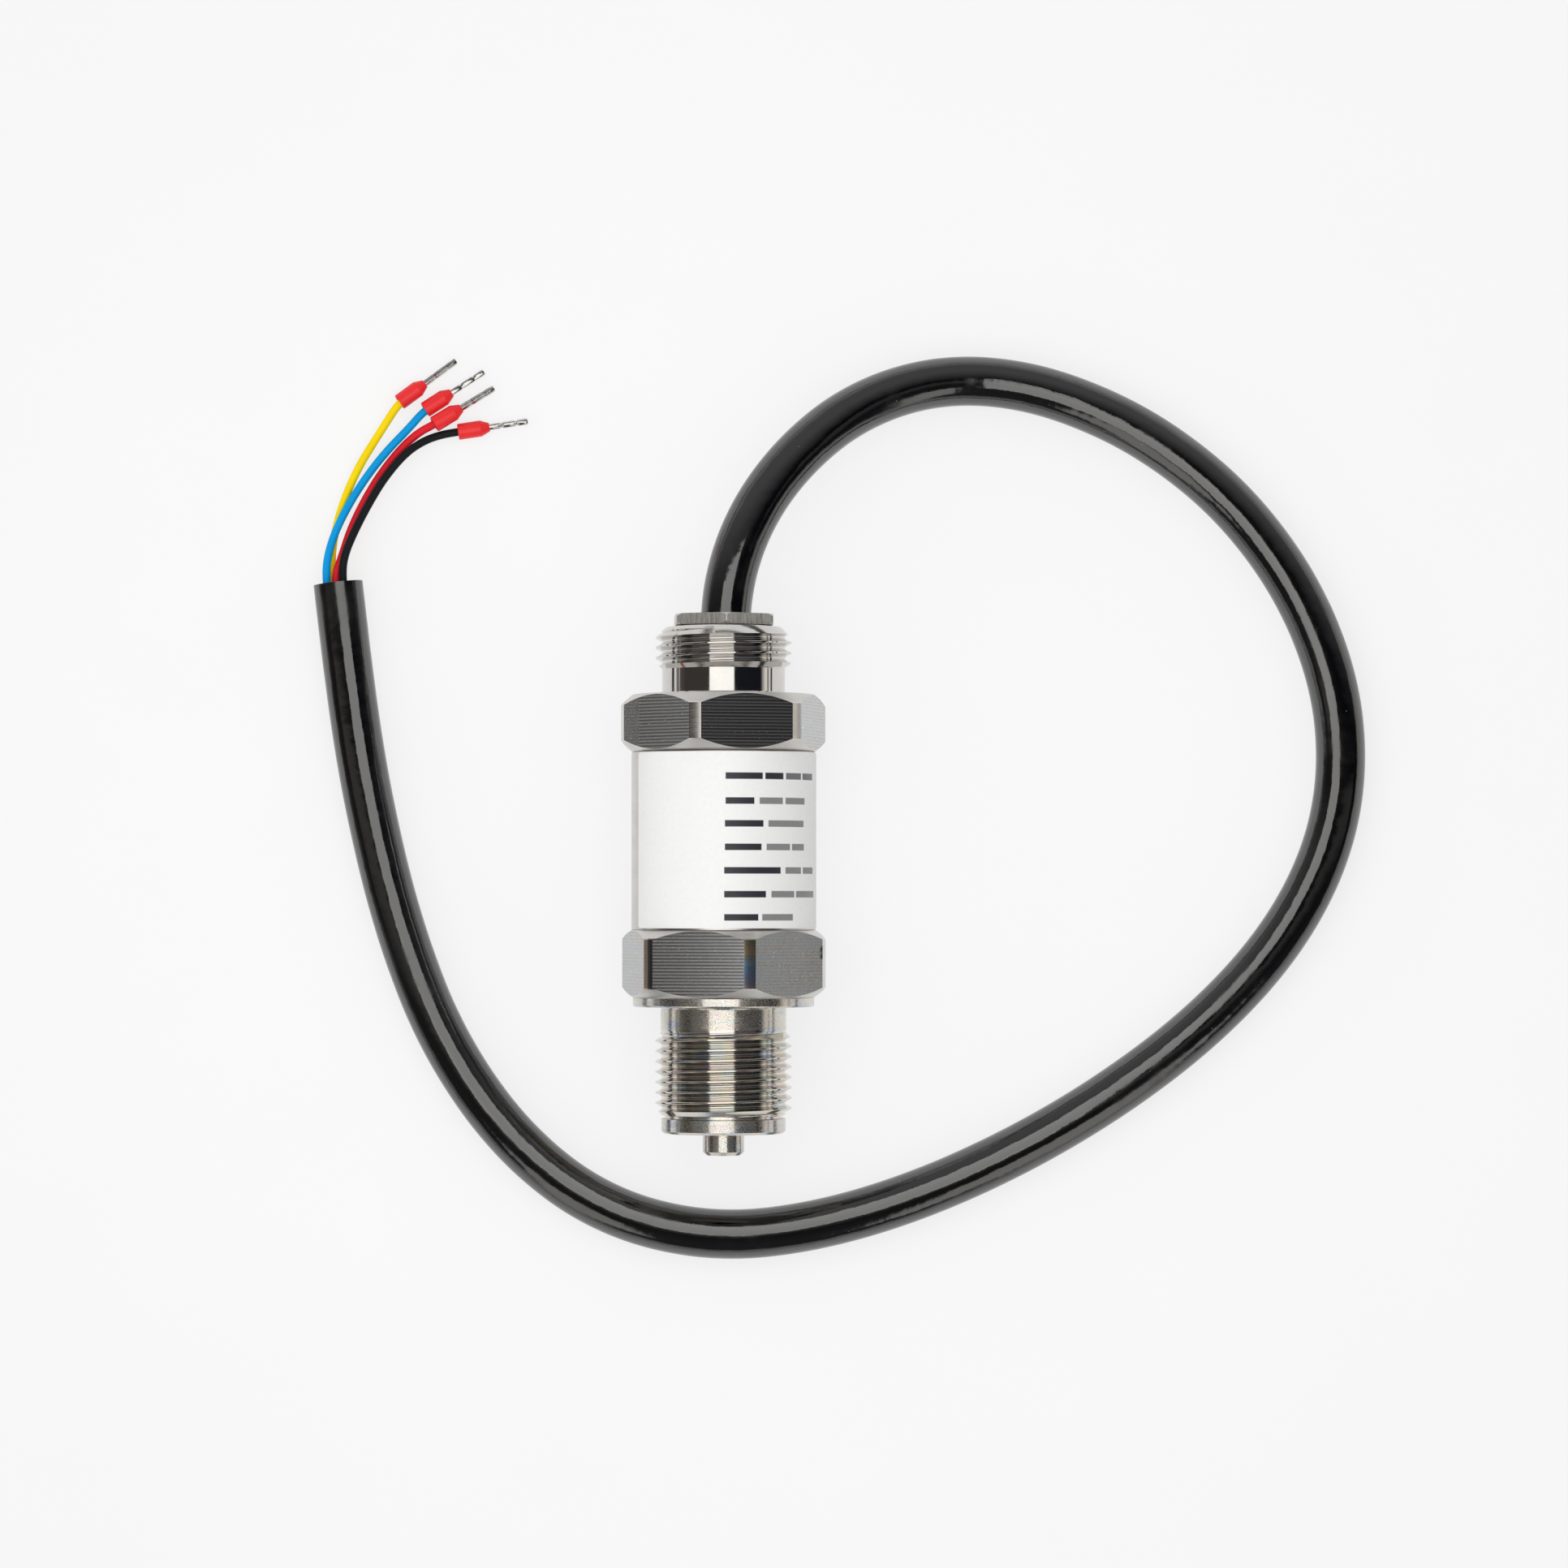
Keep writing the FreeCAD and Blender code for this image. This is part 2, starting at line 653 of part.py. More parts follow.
def ferrule_collar(colour):
    """Plastic collar: a round body, a conical shoulder and a funnel at its back."""
    body = collar_body_len
    front = body + collar_shoulder_len
    seat = front - ferrule_overlap
    outer_r = collar_diameter / 2
    bore_r = collar_bore / 2
    tube_r = ferrule_diameter / 2
    profile = [(0, outer_r - collar_wall_edge), (collar_wall_edge, outer_r), (body, outer_r),
               (front, collar_neck_diameter / 2), (front, tube_r), (seat, tube_r), (seat, bore_r),
               (collar_funnel, bore_r), (0, bore_r + collar_funnel / 4)]
    return turned(profile, Vector(*CORES[colour][2]), ferrule_axis(colour))


def ferrule_tube(colour):
    """Tinned tube crimped on the conductor."""
    seat = collar_body_len + collar_shoulder_len - ferrule_overlap
    outer_r = ferrule_diameter / 2
    inner_r = conductor_diameter / 2
    profile = [(seat, inner_r), (seat, outer_r), (ferrule_length, outer_r), (ferrule_length, inner_r)]
    return turned(profile, Vector(*CORES[colour][2]), ferrule_axis(colour))


# Each core: place in the jacket (sideways, upwards), points on the way, collar back, ferrule tip.
CORES = {
    "yellow": ((-0.85, -0.95),
               [(-58.1, 49.2, 2.0), (-57.5, 53.0, 1.65), (-56.1, 57.6, 1.5), (-54.1, 62.0, 1.5),
                (-52.0, 65.4, 1.5), (-50.1, 68.4, 1.6)],
               (-48.15, 71.41, 1.7), (-39.92, 77.58, 0.9)),
    "blue": ((-1.65, 0.55),
             [(-58.55, 48.4, 3.9), (-57.5, 52.1, 3.2), (-55.6, 56.1, 2.5), (-53.1, 60.2, 2.0),
              (-50.1, 64.1, 1.7), (-46.8, 67.5, 1.6)],
             (-44.38, 70.28, 1.6), (-35.69, 76.02, 0.9)),
    "red": ((-0.35, 0.3),
            [(-56.5, 48.4, 3.2), (-55.25, 52.6, 2.4), (-53.2, 57.0, 1.9), (-50.7, 61.15, 1.5),
             (-47.85, 64.7, 1.3), (-45.3, 66.95, 1.6)],
            (-42.97, 68.07, 2.3), (-34.24, 73.52, 1.1)),
    "black": ((0.8, 1.1),
              [(-56.0, 48.6, 4.55), (-54.5, 52.3, 3.95), (-52.5, 56.3, 3.35), (-50.2, 60.2, 2.9),
               (-47.15, 63.85, 2.55), (-44.4, 65.75, 1.8), (-41.95, 66.65, 1.25)],
              (-39.48, 67.06, 1.3), (-29.06, 68.68, 1.0)),
}

nodes = {
    "pressure_body": pressure_body(),
    "sensor_cell": sensor_cell(),
    "sensor_diaphragm": sensor_diaphragm(),
    "sensor_chip": sensor_chip(),
    "pin_glass_seals": pin_glass_seals(),
    "sensor_pins": sensor_pins(),
    "sensor_o_ring": sensor_o_ring(),
    "clamp_ring": clamp_ring(),
    "compensation_board": compensation_board(),
    "trim_resistors": trim_resistors(),
    "board_holder": board_holder(),
    "signal_board": signal_board(),
    "amplifier_chip": amplifier_chip(),
    "board_capacitors": board_parts(chip_capacitor, [(-5.5, 3.2), (5.5, 3.2), (5.5, 6.6)], board_top, 1),
    "protection_diodes": board_parts(chip_diode, [(-4.0, 4.4), (4.0, 4.4)], board_bottom, -1),
    "loop_transistor": board_parts(chip_transistor, [(0, 9.0)], board_bottom, -1),
    "link_wires": link_wires(),
    "insulating_sleeve": insulating_sleeve(),
    "cable_cap": cable_cap(),
    "cap_o_ring": cap_o_ring(),
    "cable_seal_bush": cable_seal_bush(),
    "gland_washer": gland_washer(),
    "gland_nut": gland_nut(),
    "label": label(),
    "cable_jacket": cable_jacket(),
}
for index, colour in enumerate(CORES):
    nodes[f"inner_lead_{colour}"] = inner_lead(index)
    nodes[f"core_{colour}"] = core(colour)
    nodes[f"ferrule_collar_{colour}"] = ferrule_collar(colour)
    nodes[f"ferrule_tube_{colour}"] = ferrule_tube(colour)

for name, shape in nodes.items():
    print(f"{name}: {len(shape.Solids)} solid(s), valid {shape.isValid()}, volume {shape.Volume:.2f}")
    shape.exportStep(f"parts/{name}.step")
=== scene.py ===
"""Dresses a compact pressure transmitter with a threaded cable cap and a pigtail cable.

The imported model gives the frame: +Y runs along the transmitter towards its cable, +Z is up, and the
floor is at zero. Lengths in the tables are millimetres, and Blender gets them in metres.
"""
import math

import bpy
from mathutils import Matrix, Vector


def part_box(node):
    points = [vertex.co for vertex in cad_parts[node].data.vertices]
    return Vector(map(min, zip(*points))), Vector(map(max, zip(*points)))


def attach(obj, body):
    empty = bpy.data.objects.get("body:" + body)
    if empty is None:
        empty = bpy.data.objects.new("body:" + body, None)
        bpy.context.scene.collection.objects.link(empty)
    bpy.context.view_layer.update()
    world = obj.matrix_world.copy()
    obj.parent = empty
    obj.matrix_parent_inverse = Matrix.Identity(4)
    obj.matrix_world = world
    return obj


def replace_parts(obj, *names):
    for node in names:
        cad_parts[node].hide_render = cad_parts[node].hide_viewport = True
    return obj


bl_info = {
    "name": "Pressure transmitter",
    "version": (1, 0, 0),
    "blender": (4, 5, 0),
    "location": "View3D > Sidebar > Transmitter",
    "description": "Turned body, threaded cap, label, cable and ferrules of a pressure transmitter",
    "category": "Add Mesh",
}

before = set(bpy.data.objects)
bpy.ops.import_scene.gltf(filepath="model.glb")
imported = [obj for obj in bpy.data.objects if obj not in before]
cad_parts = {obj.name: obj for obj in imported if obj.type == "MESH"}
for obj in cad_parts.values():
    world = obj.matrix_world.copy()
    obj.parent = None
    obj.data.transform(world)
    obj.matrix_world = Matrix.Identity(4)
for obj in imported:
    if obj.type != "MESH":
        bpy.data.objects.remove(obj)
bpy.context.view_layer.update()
MM = 0.001


def middle(node):
    """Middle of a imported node's box, in metres."""
    low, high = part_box(node)
    return (low + high) / 2


AXIS_HEIGHT = middle("sensor_cell").z / MM

# ---------------------------------------------------------------- stations along the axis, tip to cable
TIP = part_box("pressure_body")[0].y / MM
NOSE = TIP + 3.2
GROOVE = NOSE + 2.15
THREAD = GROOVE + 0.45
UNDERCUT = THREAD + 12.25
FLANGE = UNDERCUT + 3.45
LOWER_HEX = FLANGE + 1.4
HOUSING = LOWER_HEX + 9.8
MOUTH = HOUSING + 18.5
UPPER_HEX = HOUSING + 25.7
NECK = UPPER_HEX + 8.3
CAP_THREAD = NECK + 3.7
CAP_END = CAP_THREAD + 6.1
PROCESS_CREST = -22.235  # middle of one crest of the process thread, straight up
CAP_CREST = 34.72  # and of one of the cap's

# ---------------------------------------------------------------- sizes that only the model uses
PORT_BORE_RADIUS = 1.5
GLAND_BORE_RADIUS = 6.0
HEX_END_RADIUS = 13.25
HEX_LAND_RADIUS = 14.9
LABEL_RADIUS = 13.45
SATIN_FROM = 13.17  # the turned finish goes satin from this radius
SATIN_FULL = 13.24  # to this one
PRINT_HALF_HEIGHT = 0.42
JACKET_RADIUS = 3.65
SPIN_STEPS = 120
HEX_SPIN_STEPS = 180
THREAD_STEPS = 96
THREAD_DEPTH = 0.6134  # of one pitch
THREAD_SPARE = 0.4  # screwed past each end, and cut off again
FLAT_REACH = 12.0  # a flat lies farther than this from the axis
FLAT_AREA = 40.0  # and is larger than this, in square millimetres

# ---------------------------------------------------------------- routes of the cable and its cores
JACKET_ROUTE = (
    (0, 26.825, AXIS_HEIGHT), (0, 36.175, AXIS_HEIGHT), (1.0, 45.8, 14.5), (4.6, 54.9, 13.0),
    (10.6, 63.0, 10.4), (18.5, 69.7, 7.2), (28.3, 73.8, 4.8), (38.8, 74.6, 3.8),
    *((x, y, JACKET_RADIUS) for x, y in (
        (50.3, 72.2), (63.6, 65.9), (76.3, 55.4), (86.0, 41.3), (91.1, 25.4), (90.4, 8.8),
        (83.4, -6.7), (70.8, -20.8), (53.2, -33.7), (33.6, -43.9), (15.0, -50.1), (-2.0, -52.0),
        (-18.1, -47.9), (-31.2, -37.9), (-41.5, -23.2), (-48.0, -6.4), (-52.4, 11.6),
        (-55.2, 28.6), (-57.0, 44.5))))
RECESS_FLOOR = Vector((-56.775, 42.51, JACKET_RADIUS))
RECESS_DEPTH = 2.0
AHEAD = Vector((-0.1125, 0.9937, 0))  # the way that the jacket's cut end faces
SIDE = Vector((0.9937, 0.1125, 0))  # across it, to the right
# Each core: its start across the recess, the points between, the collar's back, the ferrule's tip and
# the core's length in metres.
CORES = {
    "yellow": ((-0.85, -0.95), ((-58.1, 49.2, 2.0), (-57.5, 53.0, 1.65), (-56.1, 57.6, 1.5),
                                (-54.1, 62.0, 1.5), (-52.0, 65.4, 1.5), (-50.1, 68.4, 1.6)),
               (-48.15, 71.41, 1.7), (-39.92, 77.58, 0.9), 0.0335),
    "blue": ((-1.65, 0.55), ((-58.55, 48.4, 3.9), (-57.5, 52.1, 3.2), (-55.6, 56.1, 2.5),
                             (-53.1, 60.2, 2.0), (-50.1, 64.1, 1.7), (-46.8, 67.5, 1.6)),
             (-44.38, 70.28, 1.6), (-35.69, 76.02, 0.9), 0.0347),
    "red": ((-0.35, 0.3), ((-56.5, 48.4, 3.2), (-55.25, 52.6, 2.4), (-53.2, 57.0, 1.9),
                           (-50.7, 61.15, 1.5), (-47.85, 64.7, 1.3), (-45.3, 66.95, 1.6)),
            (-42.97, 68.07, 2.3), (-34.24, 73.52, 1.1), 0.033),
    "black": ((0.8, 1.1), ((-56.0, 48.6, 4.55), (-54.5, 52.3, 3.95), (-52.5, 56.3, 3.35),
                           (-50.2, 60.2, 2.9), (-47.15, 63.85, 2.55), (-44.4, 65.75, 1.8),
                           (-41.95, 66.65, 1.25)),
              (-39.48, 67.06, 1.3), (-29.06, 68.68, 1.0), 0.0345),
}
FERRULE_ROLL = {"yellow": 20.0, "blue": -35.0, "red": 10.0, "black": 65.0}
CORE_IN_COLLAR = 2.4

# ---------------------------------------------------------------- a ferrule's bare tube
FERRULE_SEAT = 3.1  # the tube starts this far from the collar's back
FERRULE_LENGTH = 10.4  # and ends this far from it
TIP_CHAMFER = 0.16
HOLLOW_DEPTH = 1.2
# The hollow's dark finish from here on is painted shade.
DARK_FROM = 9.0  # the hollow is dark from here on
# Each stretch of the tube: its length, then the squeeze across and up at its end.
BITE = ((0.22, 0.92, 0.66), (0.16, 0.92, 0.66), (0.22, 1.0, 1.0))
STRETCHES = ((1.75, 1.0, 1.0), (1.3, 1.0, 1.0), *BITE, (1.65, 1.0, 1.0), *BITE, (0.55, 1.0, 1.0))

# Rows of print bars on the label: middle of the row along the axis, then (start, end, strength) of each
# bar along the arc, counted from the line straight up.
PRINT_ROWS = (
    (15.5, ((0.5, 5.9, 1.0), (6.4, 9.4, 1.0), (10.0, 13.2, 0.85), (13.7, 17.0, 0.85))),
    (11.95, ((0.5, 4.6, 1.0), (5.5, 9.3, 0.75), (9.9, 14.2, 0.75))),
    (8.7, ((0.4, 6.0, 1.0), (6.9, 13.9, 0.75))),
    (5.35, ((0.4, 5.7, 1.0), (6.6, 10.7, 0.75), (11.2, 14.0, 0.75))),
    (2.0, ((0.3, 8.9, 1.0), (9.9, 13.2, 0.75), (13.8, 17.2, 0.75))),
    (-1.4, ((0.3, 6.4, 1.0), (7.4, 11.6, 0.75), (12.1, 17.6, 0.75))),
    (-4.7, ((0.3, 5.2, 1.0), (5.9, 11.3, 0.75))),
)


def srgb(red, green, blue):
    """Linear colour from display values of 0 to 255."""
    def channel(value):
        share = value / 255
        return share / 12.92 if share <= 0.04045 else ((share + 0.055) / 1.055) ** 2.4
    return channel(red), channel(green), channel(blue)


# ---------------------------------------------------------------- what a user would change
def length_setting(name, description, default):
    """A length, in metres."""
    return bpy.props.FloatProperty(
        name=name, description=description, default=default, unit="LENGTH", subtype="DISTANCE")


def colour_setting(name, description, default):
    """A linear colour."""
    return bpy.props.FloatVectorProperty(
        name=name, description=description, default=default, size=3, subtype="COLOR", min=0, max=1)


class TransmitterSizes(bpy.types.PropertyGroup):
    """Sizes of the dressed pieces"""
    across_flats: length_setting(
        "Across flats", "Distance across the flats of both hexagons", 27.0 * MM)
    corner_radius: length_setting(
        "Corner radius", "Radius to which the hexagons' corners are turned", 15.1 * MM)
    hexagon_turn: bpy.props.FloatProperty(
        name="Hexagon turn", default=math.radians(15), unit="ROTATION", subtype="ANGLE",
        description="Turn of the cap's hexagon from flat up; the body's turns the other way")
    thread_pitch: length_setting(
        "Thread pitch", "Pitch of the process thread and of the cap's thread", 1.5 * MM)
    thread_radius: length_setting("Thread radius", "Radius over the thread crests", 9.9 * MM)
    housing_radius: length_setting("Housing radius", "Outside radius of the housing tube", 13.35 * MM)
    jacket_diameter: length_setting(
        "Jacket diameter", "Outside diameter of the cable's jacket", 7.3 * MM)
    recess_diameter: length_setting(
        "Recess diameter", "Hollow at the jacket's cut end, where the cores come out", 5.4 * MM)
    core_diameter: length_setting("Core diameter", "Outside diameter of one insulated core", 1.2 * MM)
    ferrule_radius: length_setting(
        "Ferrule radius", "Outside radius of a ferrule's bare tube", 0.5 * MM)


class TransmitterColours(bpy.types.PropertyGroup):
    """Colours of the finishes"""
    steel: colour_setting("Steel", "Stainless steel of the body and the cap", (0.62, 0.605, 0.585))
    nickel: colour_setting("Nickel", "Plating of the gland nut and its washer", (0.92, 0.90, 0.85))
    tin: colour_setting("Tin", "Tinned copper of the ferrule tubes", (0.66, 0.65, 0.62))
    jacket: colour_setting("Jacket", "Outer jacket of the cable", (0.0018, 0.0018, 0.0022))
    collar: colour_setting("Collar", "Plastic collar of a ferrule", srgb(244, 40, 44))
    yellow: colour_setting("Yellow core", "Insulation of the yellow core", srgb(255, 222, 0))
    blue: colour_setting("Blue core", "Insulation of the blue core", srgb(0, 158, 228))
    red: colour_setting("Red core", "Insulation of the red core", srgb(228, 32, 46))
    black: colour_setting("Black core", "Insulation of the black core", srgb(28, 30, 32))
    film: colour_setting("Label film", "White satin film of the label", srgb(237, 237, 236))
    print_bars: colour_setting("Print bars", "Dark print bars on the label", srgb(42, 44, 52))


class StageSettings(bpy.types.PropertyGroup):
    """Floor, light and camera"""
    floor_size: length_setting("Floor size", "Side of the square floor", 6.0)
    overhead_power: bpy.props.FloatProperty(
        name="Overhead lamp", description="Power of the soft lamp above the object",
        default=0.122, unit="POWER")
    overhead_height: length_setting("Lamp height", "Height of the overhead lamp over the floor", 0.20)
    overhead_width: length_setting(
        "Lamp width", "Width of the overhead lamp, across the transmitter", 0.153)
    overhead_length: length_setting(
        "Lamp length", "Length of the overhead lamp, along the transmitter", 0.165)
    camera_height: length_setting("Camera height", "Height of the camera over the floor", 0.7462)
    lens: bpy.props.FloatProperty(
        name="Lens", description="Focal length on a 36 mm sensor", default=115.72, unit="CAMERA")


# ---------------------------------------------------------------- shader values as plain arithmetic
class Level:
    """A shader value that goes through plain arithmetic."""

    def __init__(self, finish, socket):
        self.finish = finish
        self.socket = socket

    def _math(self, operation, first, second=None):
        values = [first] if second is None else [first, second]
        return self.finish.node("ShaderNodeMath", {"operation": operation}, dict(enumerate(values)))

    def __add__(self, other):
        return self._math("ADD", self, other)

    def __radd__(self, other):
        return self._math("ADD", other, self)

    def __sub__(self, other):
        return self._math("SUBTRACT", self, other)

    def __rsub__(self, other):
        return self._math("SUBTRACT", other, self)

    def __mul__(self, other):
        return self._math("MULTIPLY", self, other)

    def __rmul__(self, other):
        return self._math("MULTIPLY", other, self)

    def __pow__(self, other):
        return self._math("POWER", self, other)

    def __abs__(self):
        return self._math("ABSOLUTE", self)

    def larger(self, other):
        """The larger of two values."""
        return self._math("MAXIMUM", self, other)

    def angle_from(self, other):
        """Angle, in radians, that has self across and other along the way it is counted from."""
        return self._math("ARCTAN2", self, other)

    def between(self, low, high, soft):
        """1 from low to high, and falling to 0 over the soft width outside them."""
        rise = self.finish.ramp(self, low - soft, low)
        return rise * self.finish.ramp(self, high + soft, high)


class Finish:
    """The node tree of one material, or of the world."""

    def __init__(self, name, world=False, **constants):
        self.owner = bpy.data.worlds.new(name) if world else bpy.data.materials.new(name)
        self.owner.use_nodes = True
        self.tree = self.owner.node_tree
        self.shader = self.tree.nodes["Background" if world else "Principled BSDF"]
        for key, value in constants.items():
            self.constant(key.replace("_", " "), value)

    def constant(self, socket, value):
        """Set a shader socket that is the same all over the surface."""
        self.shader.inputs[socket].default_value = (*value, 1) if isinstance(value, tuple) else value

    def node(self, kind, settings=None, values=None, output=0):
        """Add a node, set it up, feed it values or links, and return one of its outputs."""
        node = self.tree.nodes.new(kind)
        for key, value in (settings or {}).items():
            if key == "stops":
                ramp = node.color_ramp
                while len(ramp.elements) < len(value):
                    ramp.elements.new(0.5)
                for element, (position, colour) in zip(ramp.elements, value):
                    element.position = position
                    element.color = (*colour, 1)
            else:
                setattr(node, key, value)
        for key, value in (values or {}).items():
            if isinstance(value, Level):
                self.tree.links.new(value.socket, node.inputs[key])
            elif isinstance(value, tuple) and node.inputs[key].type == "RGBA":
                node.inputs[key].default_value = (*value, 1)
            else:
                node.inputs[key].default_value = value
        return Level(self, node.outputs[output])

    def place(self):
        """Object coordinates in millimetres, as a vector and as x, y and z."""
        point = self.node("ShaderNodeTexCoord", output="Object")
        point = self.node("ShaderNodeVectorMath", {"operation": "SCALE"}, {0: point, "Scale": 1 / MM})
        return (point, *self.parts(point))

    def parts(self, point):
        """The x, y and z of a vector."""
        return [self.node("ShaderNodeSeparateXYZ", values={0: point}, output=k) for k in range(3)]

    def vector(self, x, y, z):
        """Vector of three values."""
        return self.node("ShaderNodeCombineXYZ", values={0: x, 1: y, 2: z})

    def noise(self, point, scale, detail=2.0, roughness=0.5):
        """Fractal noise, mostly between 0.25 and 0.75."""
        return self.node("ShaderNodeTexNoise", values={
            "Vector": point, "Scale": scale, "Detail": detail, "Roughness": roughness})

    def ramp(self, value, low, high, bottom=0.0, top=1.0):
        """value carried from low..high to bottom..top and held there outside."""
        return self.node("ShaderNodeMapRange", {"clamp": True}, {
            "Value": value, "From Min": low, "From Max": high, "To Min": bottom, "To Max": top})

    def mix(self, share, first, second):
        """Colour between two colours, the first where share is 0."""
        values = {0: share, 6: first, 7: second}
        return self.node("ShaderNodeMix", {"data_type": "RGBA"}, values, output=2)

    def bump(self, height, distance, normal=None):
        """Normal from a height, whose full range stands distance millimetres high."""
        values = {"Height": height, "Distance": distance * MM}
        if normal is not None:
            values["Normal"] = normal
        return self.node("ShaderNodeBump", values=values)

    def feed(self, **links):
        """Link what changes over the surface."""
        for key, value in links.items():
            self.tree.links.new(value.socket, self.shader.inputs[key.replace("_", " ")])
        return self.owner


def axis_radius(x, z):
    """Distance from the transmitter's axis, in millimetres."""
    upward = z - AXIS_HEIGHT
    return (x * x + upward * upward) ** 0.5


def turned_steel():
    """Stainless steel as it leaves the lathe: bright above, hazier and faintly tinted below."""
    finish = Finish("turned stainless steel", Metallic=1.0)
    point, x, y, z = finish.place()
    radius = axis_radius(x, z)
    rings = finish.noise(finish.vector(y * 5, radius * 5, 0.2), 1, 3, 0.6)
    broad = finish.noise(finish.vector(y * 0.9, x * 0.22, z * 0.22), 1, 2)
    cloud = finish.noise(point, 0.35, 3)
    speckle = finish.noise(point, 9.0, 2)
    satin = finish.ramp(radius, SATIN_FROM, SATIN_FULL)
    low = finish.ramp(y, UPPER_HEX, HOUSING) * finish.ramp(satin, 1.0, 0.0)
    tint = finish.node("ShaderNodeValToRGB", {"stops": (
        (0.32, (0.55, 0.60, 0.70)), (0.42, (0.66, 0.68, 0.62)), (0.52, (0.74, 0.69, 0.57)),
        (0.60, (0.72, 0.61, 0.60)), (0.70, (0.62, 0.68, 0.67)))}, {0: broad})
    steel = tuple(bpy.context.scene.transmitter_colours.steel)
    colour = finish.mix(low * 0.6 + 0.15, steel, tint)
    colour = finish.mix(finish.ramp(cloud, 0.35, 0.75, 0.0, 0.25), colour, (0.45, 0.44, 0.43))
    land = finish.ramp(radius, HEX_LAND_RADIUS - 0.08, HEX_LAND_RADIUS + 0.02)
    lower = y.between(LOWER_HEX, HOUSING, 0.1) * land
    heat = finish.node("ShaderNodeValToRGB", {"stops": (
        (0.05, (0.55, 0.50, 0.48)), (0.28, (0.32, 0.36, 0.58)), (0.50, (0.24, 0.46, 0.66)),
        (0.72, (0.62, 0.47, 0.25)), (0.95, (0.38, 0.37, 0.27)))}, {
        0: finish.ramp(y + broad * 1.5, LOWER_HEX + 1.6, HOUSING - 0.2)})
    colour = finish.mix(lower * x.between(2.9, 4.9, 0.1) * 0.9, colour, heat)
    # Painted reflection on the lower hexagon's left land: its outer strip is painted brown and its
    # inner strip near black.
    colour = finish.mix(lower * x.between(-12.0, -10.7, 0.1) * 0.9, colour, (0.50, 0.38, 0.29))
    colour = finish.mix(lower * x.between(-10.65, -9.6, 0.1) * 0.9, colour, (0.05, 0.05, 0.06))
    # Painted shade: a near-black speckled mark on the lower hexagon's right land stands in for the
    # shade in a small nick.
    nick_shade = y.between(HOUSING - 4.1, HOUSING - 2.5, 0.3) * x.between(14.0, 14.3, 0.1)
    colour = finish.mix(nick_shade * finish.ramp(speckle, 0.35, 0.5) * 0.9, colour, (0.03, 0.03, 0.03))
    threaded = y.between(THREAD, UNDERCUT, 0.3)
    haze = finish.ramp(speckle, 0.42, 0.58) * low * finish.ramp(threaded, 0.0, 1.0, 1.0, 0.25)
    rough = finish.ramp(rings, 0.3, 0.7, 0.03, 0.08) + finish.ramp(cloud, 0.4, 0.8, 0.0, 0.04)
    rough = rough + haze * 0.36 + satin * 0.24 + land * -0.12
    return finish.feed(Base_Color=colour, Roughness=rough, Normal=finish.bump(rings, 0.005))


def milled_steel():
    """Hexagon flats: straight fine cutter lines across the axis, so the sheen spreads along it."""
    finish = Finish("milled stainless steel", Metallic=1.0)
    point, x, y, z = finish.place()
    wave = finish.node("ShaderNodeTexWave", {"bands_direction": "Y"}, {
        "Vector": point, "Scale": 0.68, "Distortion": 0.0})
    scratch = finish.noise(finish.vector(x * 0.012, y * 4.2, z * 0.012), 1, 2, 0.55)
    broad = finish.noise(finish.vector(x * 0.12, y * 0.9, z * 0.12), 1, 2)
    pits = finish.noise(point, 2.2, 2, 0.5)
    plain = finish.ramp(x, 4.0, 4.6) * finish.ramp(y, 10.0, 0.0)
    # The flats at the sides, by their distance from the axis along their own normal.
    turn = bpy.context.scene.transmitter_sizes.hexagon_turn
    reach = abs(x) * math.cos(turn) + (z - AXIS_HEIGHT) * math.sin(turn)
    upright = finish.ramp(reach, 13.42, 13.46)
    grains = finish.noise(point, 5.0, 3, 0.6)
    lines = finish.mix(plain.larger(upright) * 0.8, wave * 0.6 + scratch * 0.4, grains)
    lines = finish.node("ShaderNodeSeparateColor", values={0: lines})
    steel = tuple(bpy.context.scene.transmitter_colours.steel)
    colour = finish.mix(finish.ramp(lines, 0.3, 0.7), tuple(0.45 * c for c in steel), steel)
    colour = finish.mix(finish.ramp(broad, 0.35, 0.65, 0.05, 0.5), colour, (0.42, 0.46, 0.50))
    colour = finish.mix(finish.ramp(pits, 0.70, 0.74), colour, (0.85, 0.85, 0.84))
    # Painted shade: the same nick's near-black mark where it reaches the milled surface.
    nick_shade = y.between(HOUSING - 4.1, HOUSING - 2.5, 0.3) * x.between(14.04, 14.3, 0.14)
    colour = finish.mix(nick_shade * finish.ramp(pits, 0.30, 0.55) * 0.9, colour, (0.03, 0.03, 0.03))
    rough = finish.ramp(lines, 0.25, 0.75, 0.05, 0.09) + finish.ramp(y, 10.0, 0.0, 0.05, 0.15)
    return finish.feed(Base_Color=colour, Roughness=rough + plain * 0.22 + upright * 0.06,
                       Normal=finish.bump(lines, 0.024))


def nickel_plate():
    """Worn nickel over a nut with cutter lines across its thin edge."""
    finish = Finish("nickel plate", Metallic=1.0)
    point, x, y, z = finish.place()
    lines = finish.noise(finish.vector(x * 3.0, y * 0.35, z * 3.0), 1, 3, 0.65)
    stain = finish.noise(point, 0.6, 2)
    nickel = tuple(bpy.context.scene.transmitter_colours.nickel)
    colour = finish.mix(finish.ramp(lines, 0.36, 0.62), tuple(0.62 * c for c in nickel), nickel)
    colour = finish.mix(finish.ramp(stain, 0.45, 0.7, 0.0, 0.3), colour, (0.50, 0.46, 0.39))
    return finish.feed(Base_Color=colour, Roughness=finish.ramp(lines, 0.3, 0.7, 0.58, 0.46),
                       Normal=finish.bump(lines, 0.05))


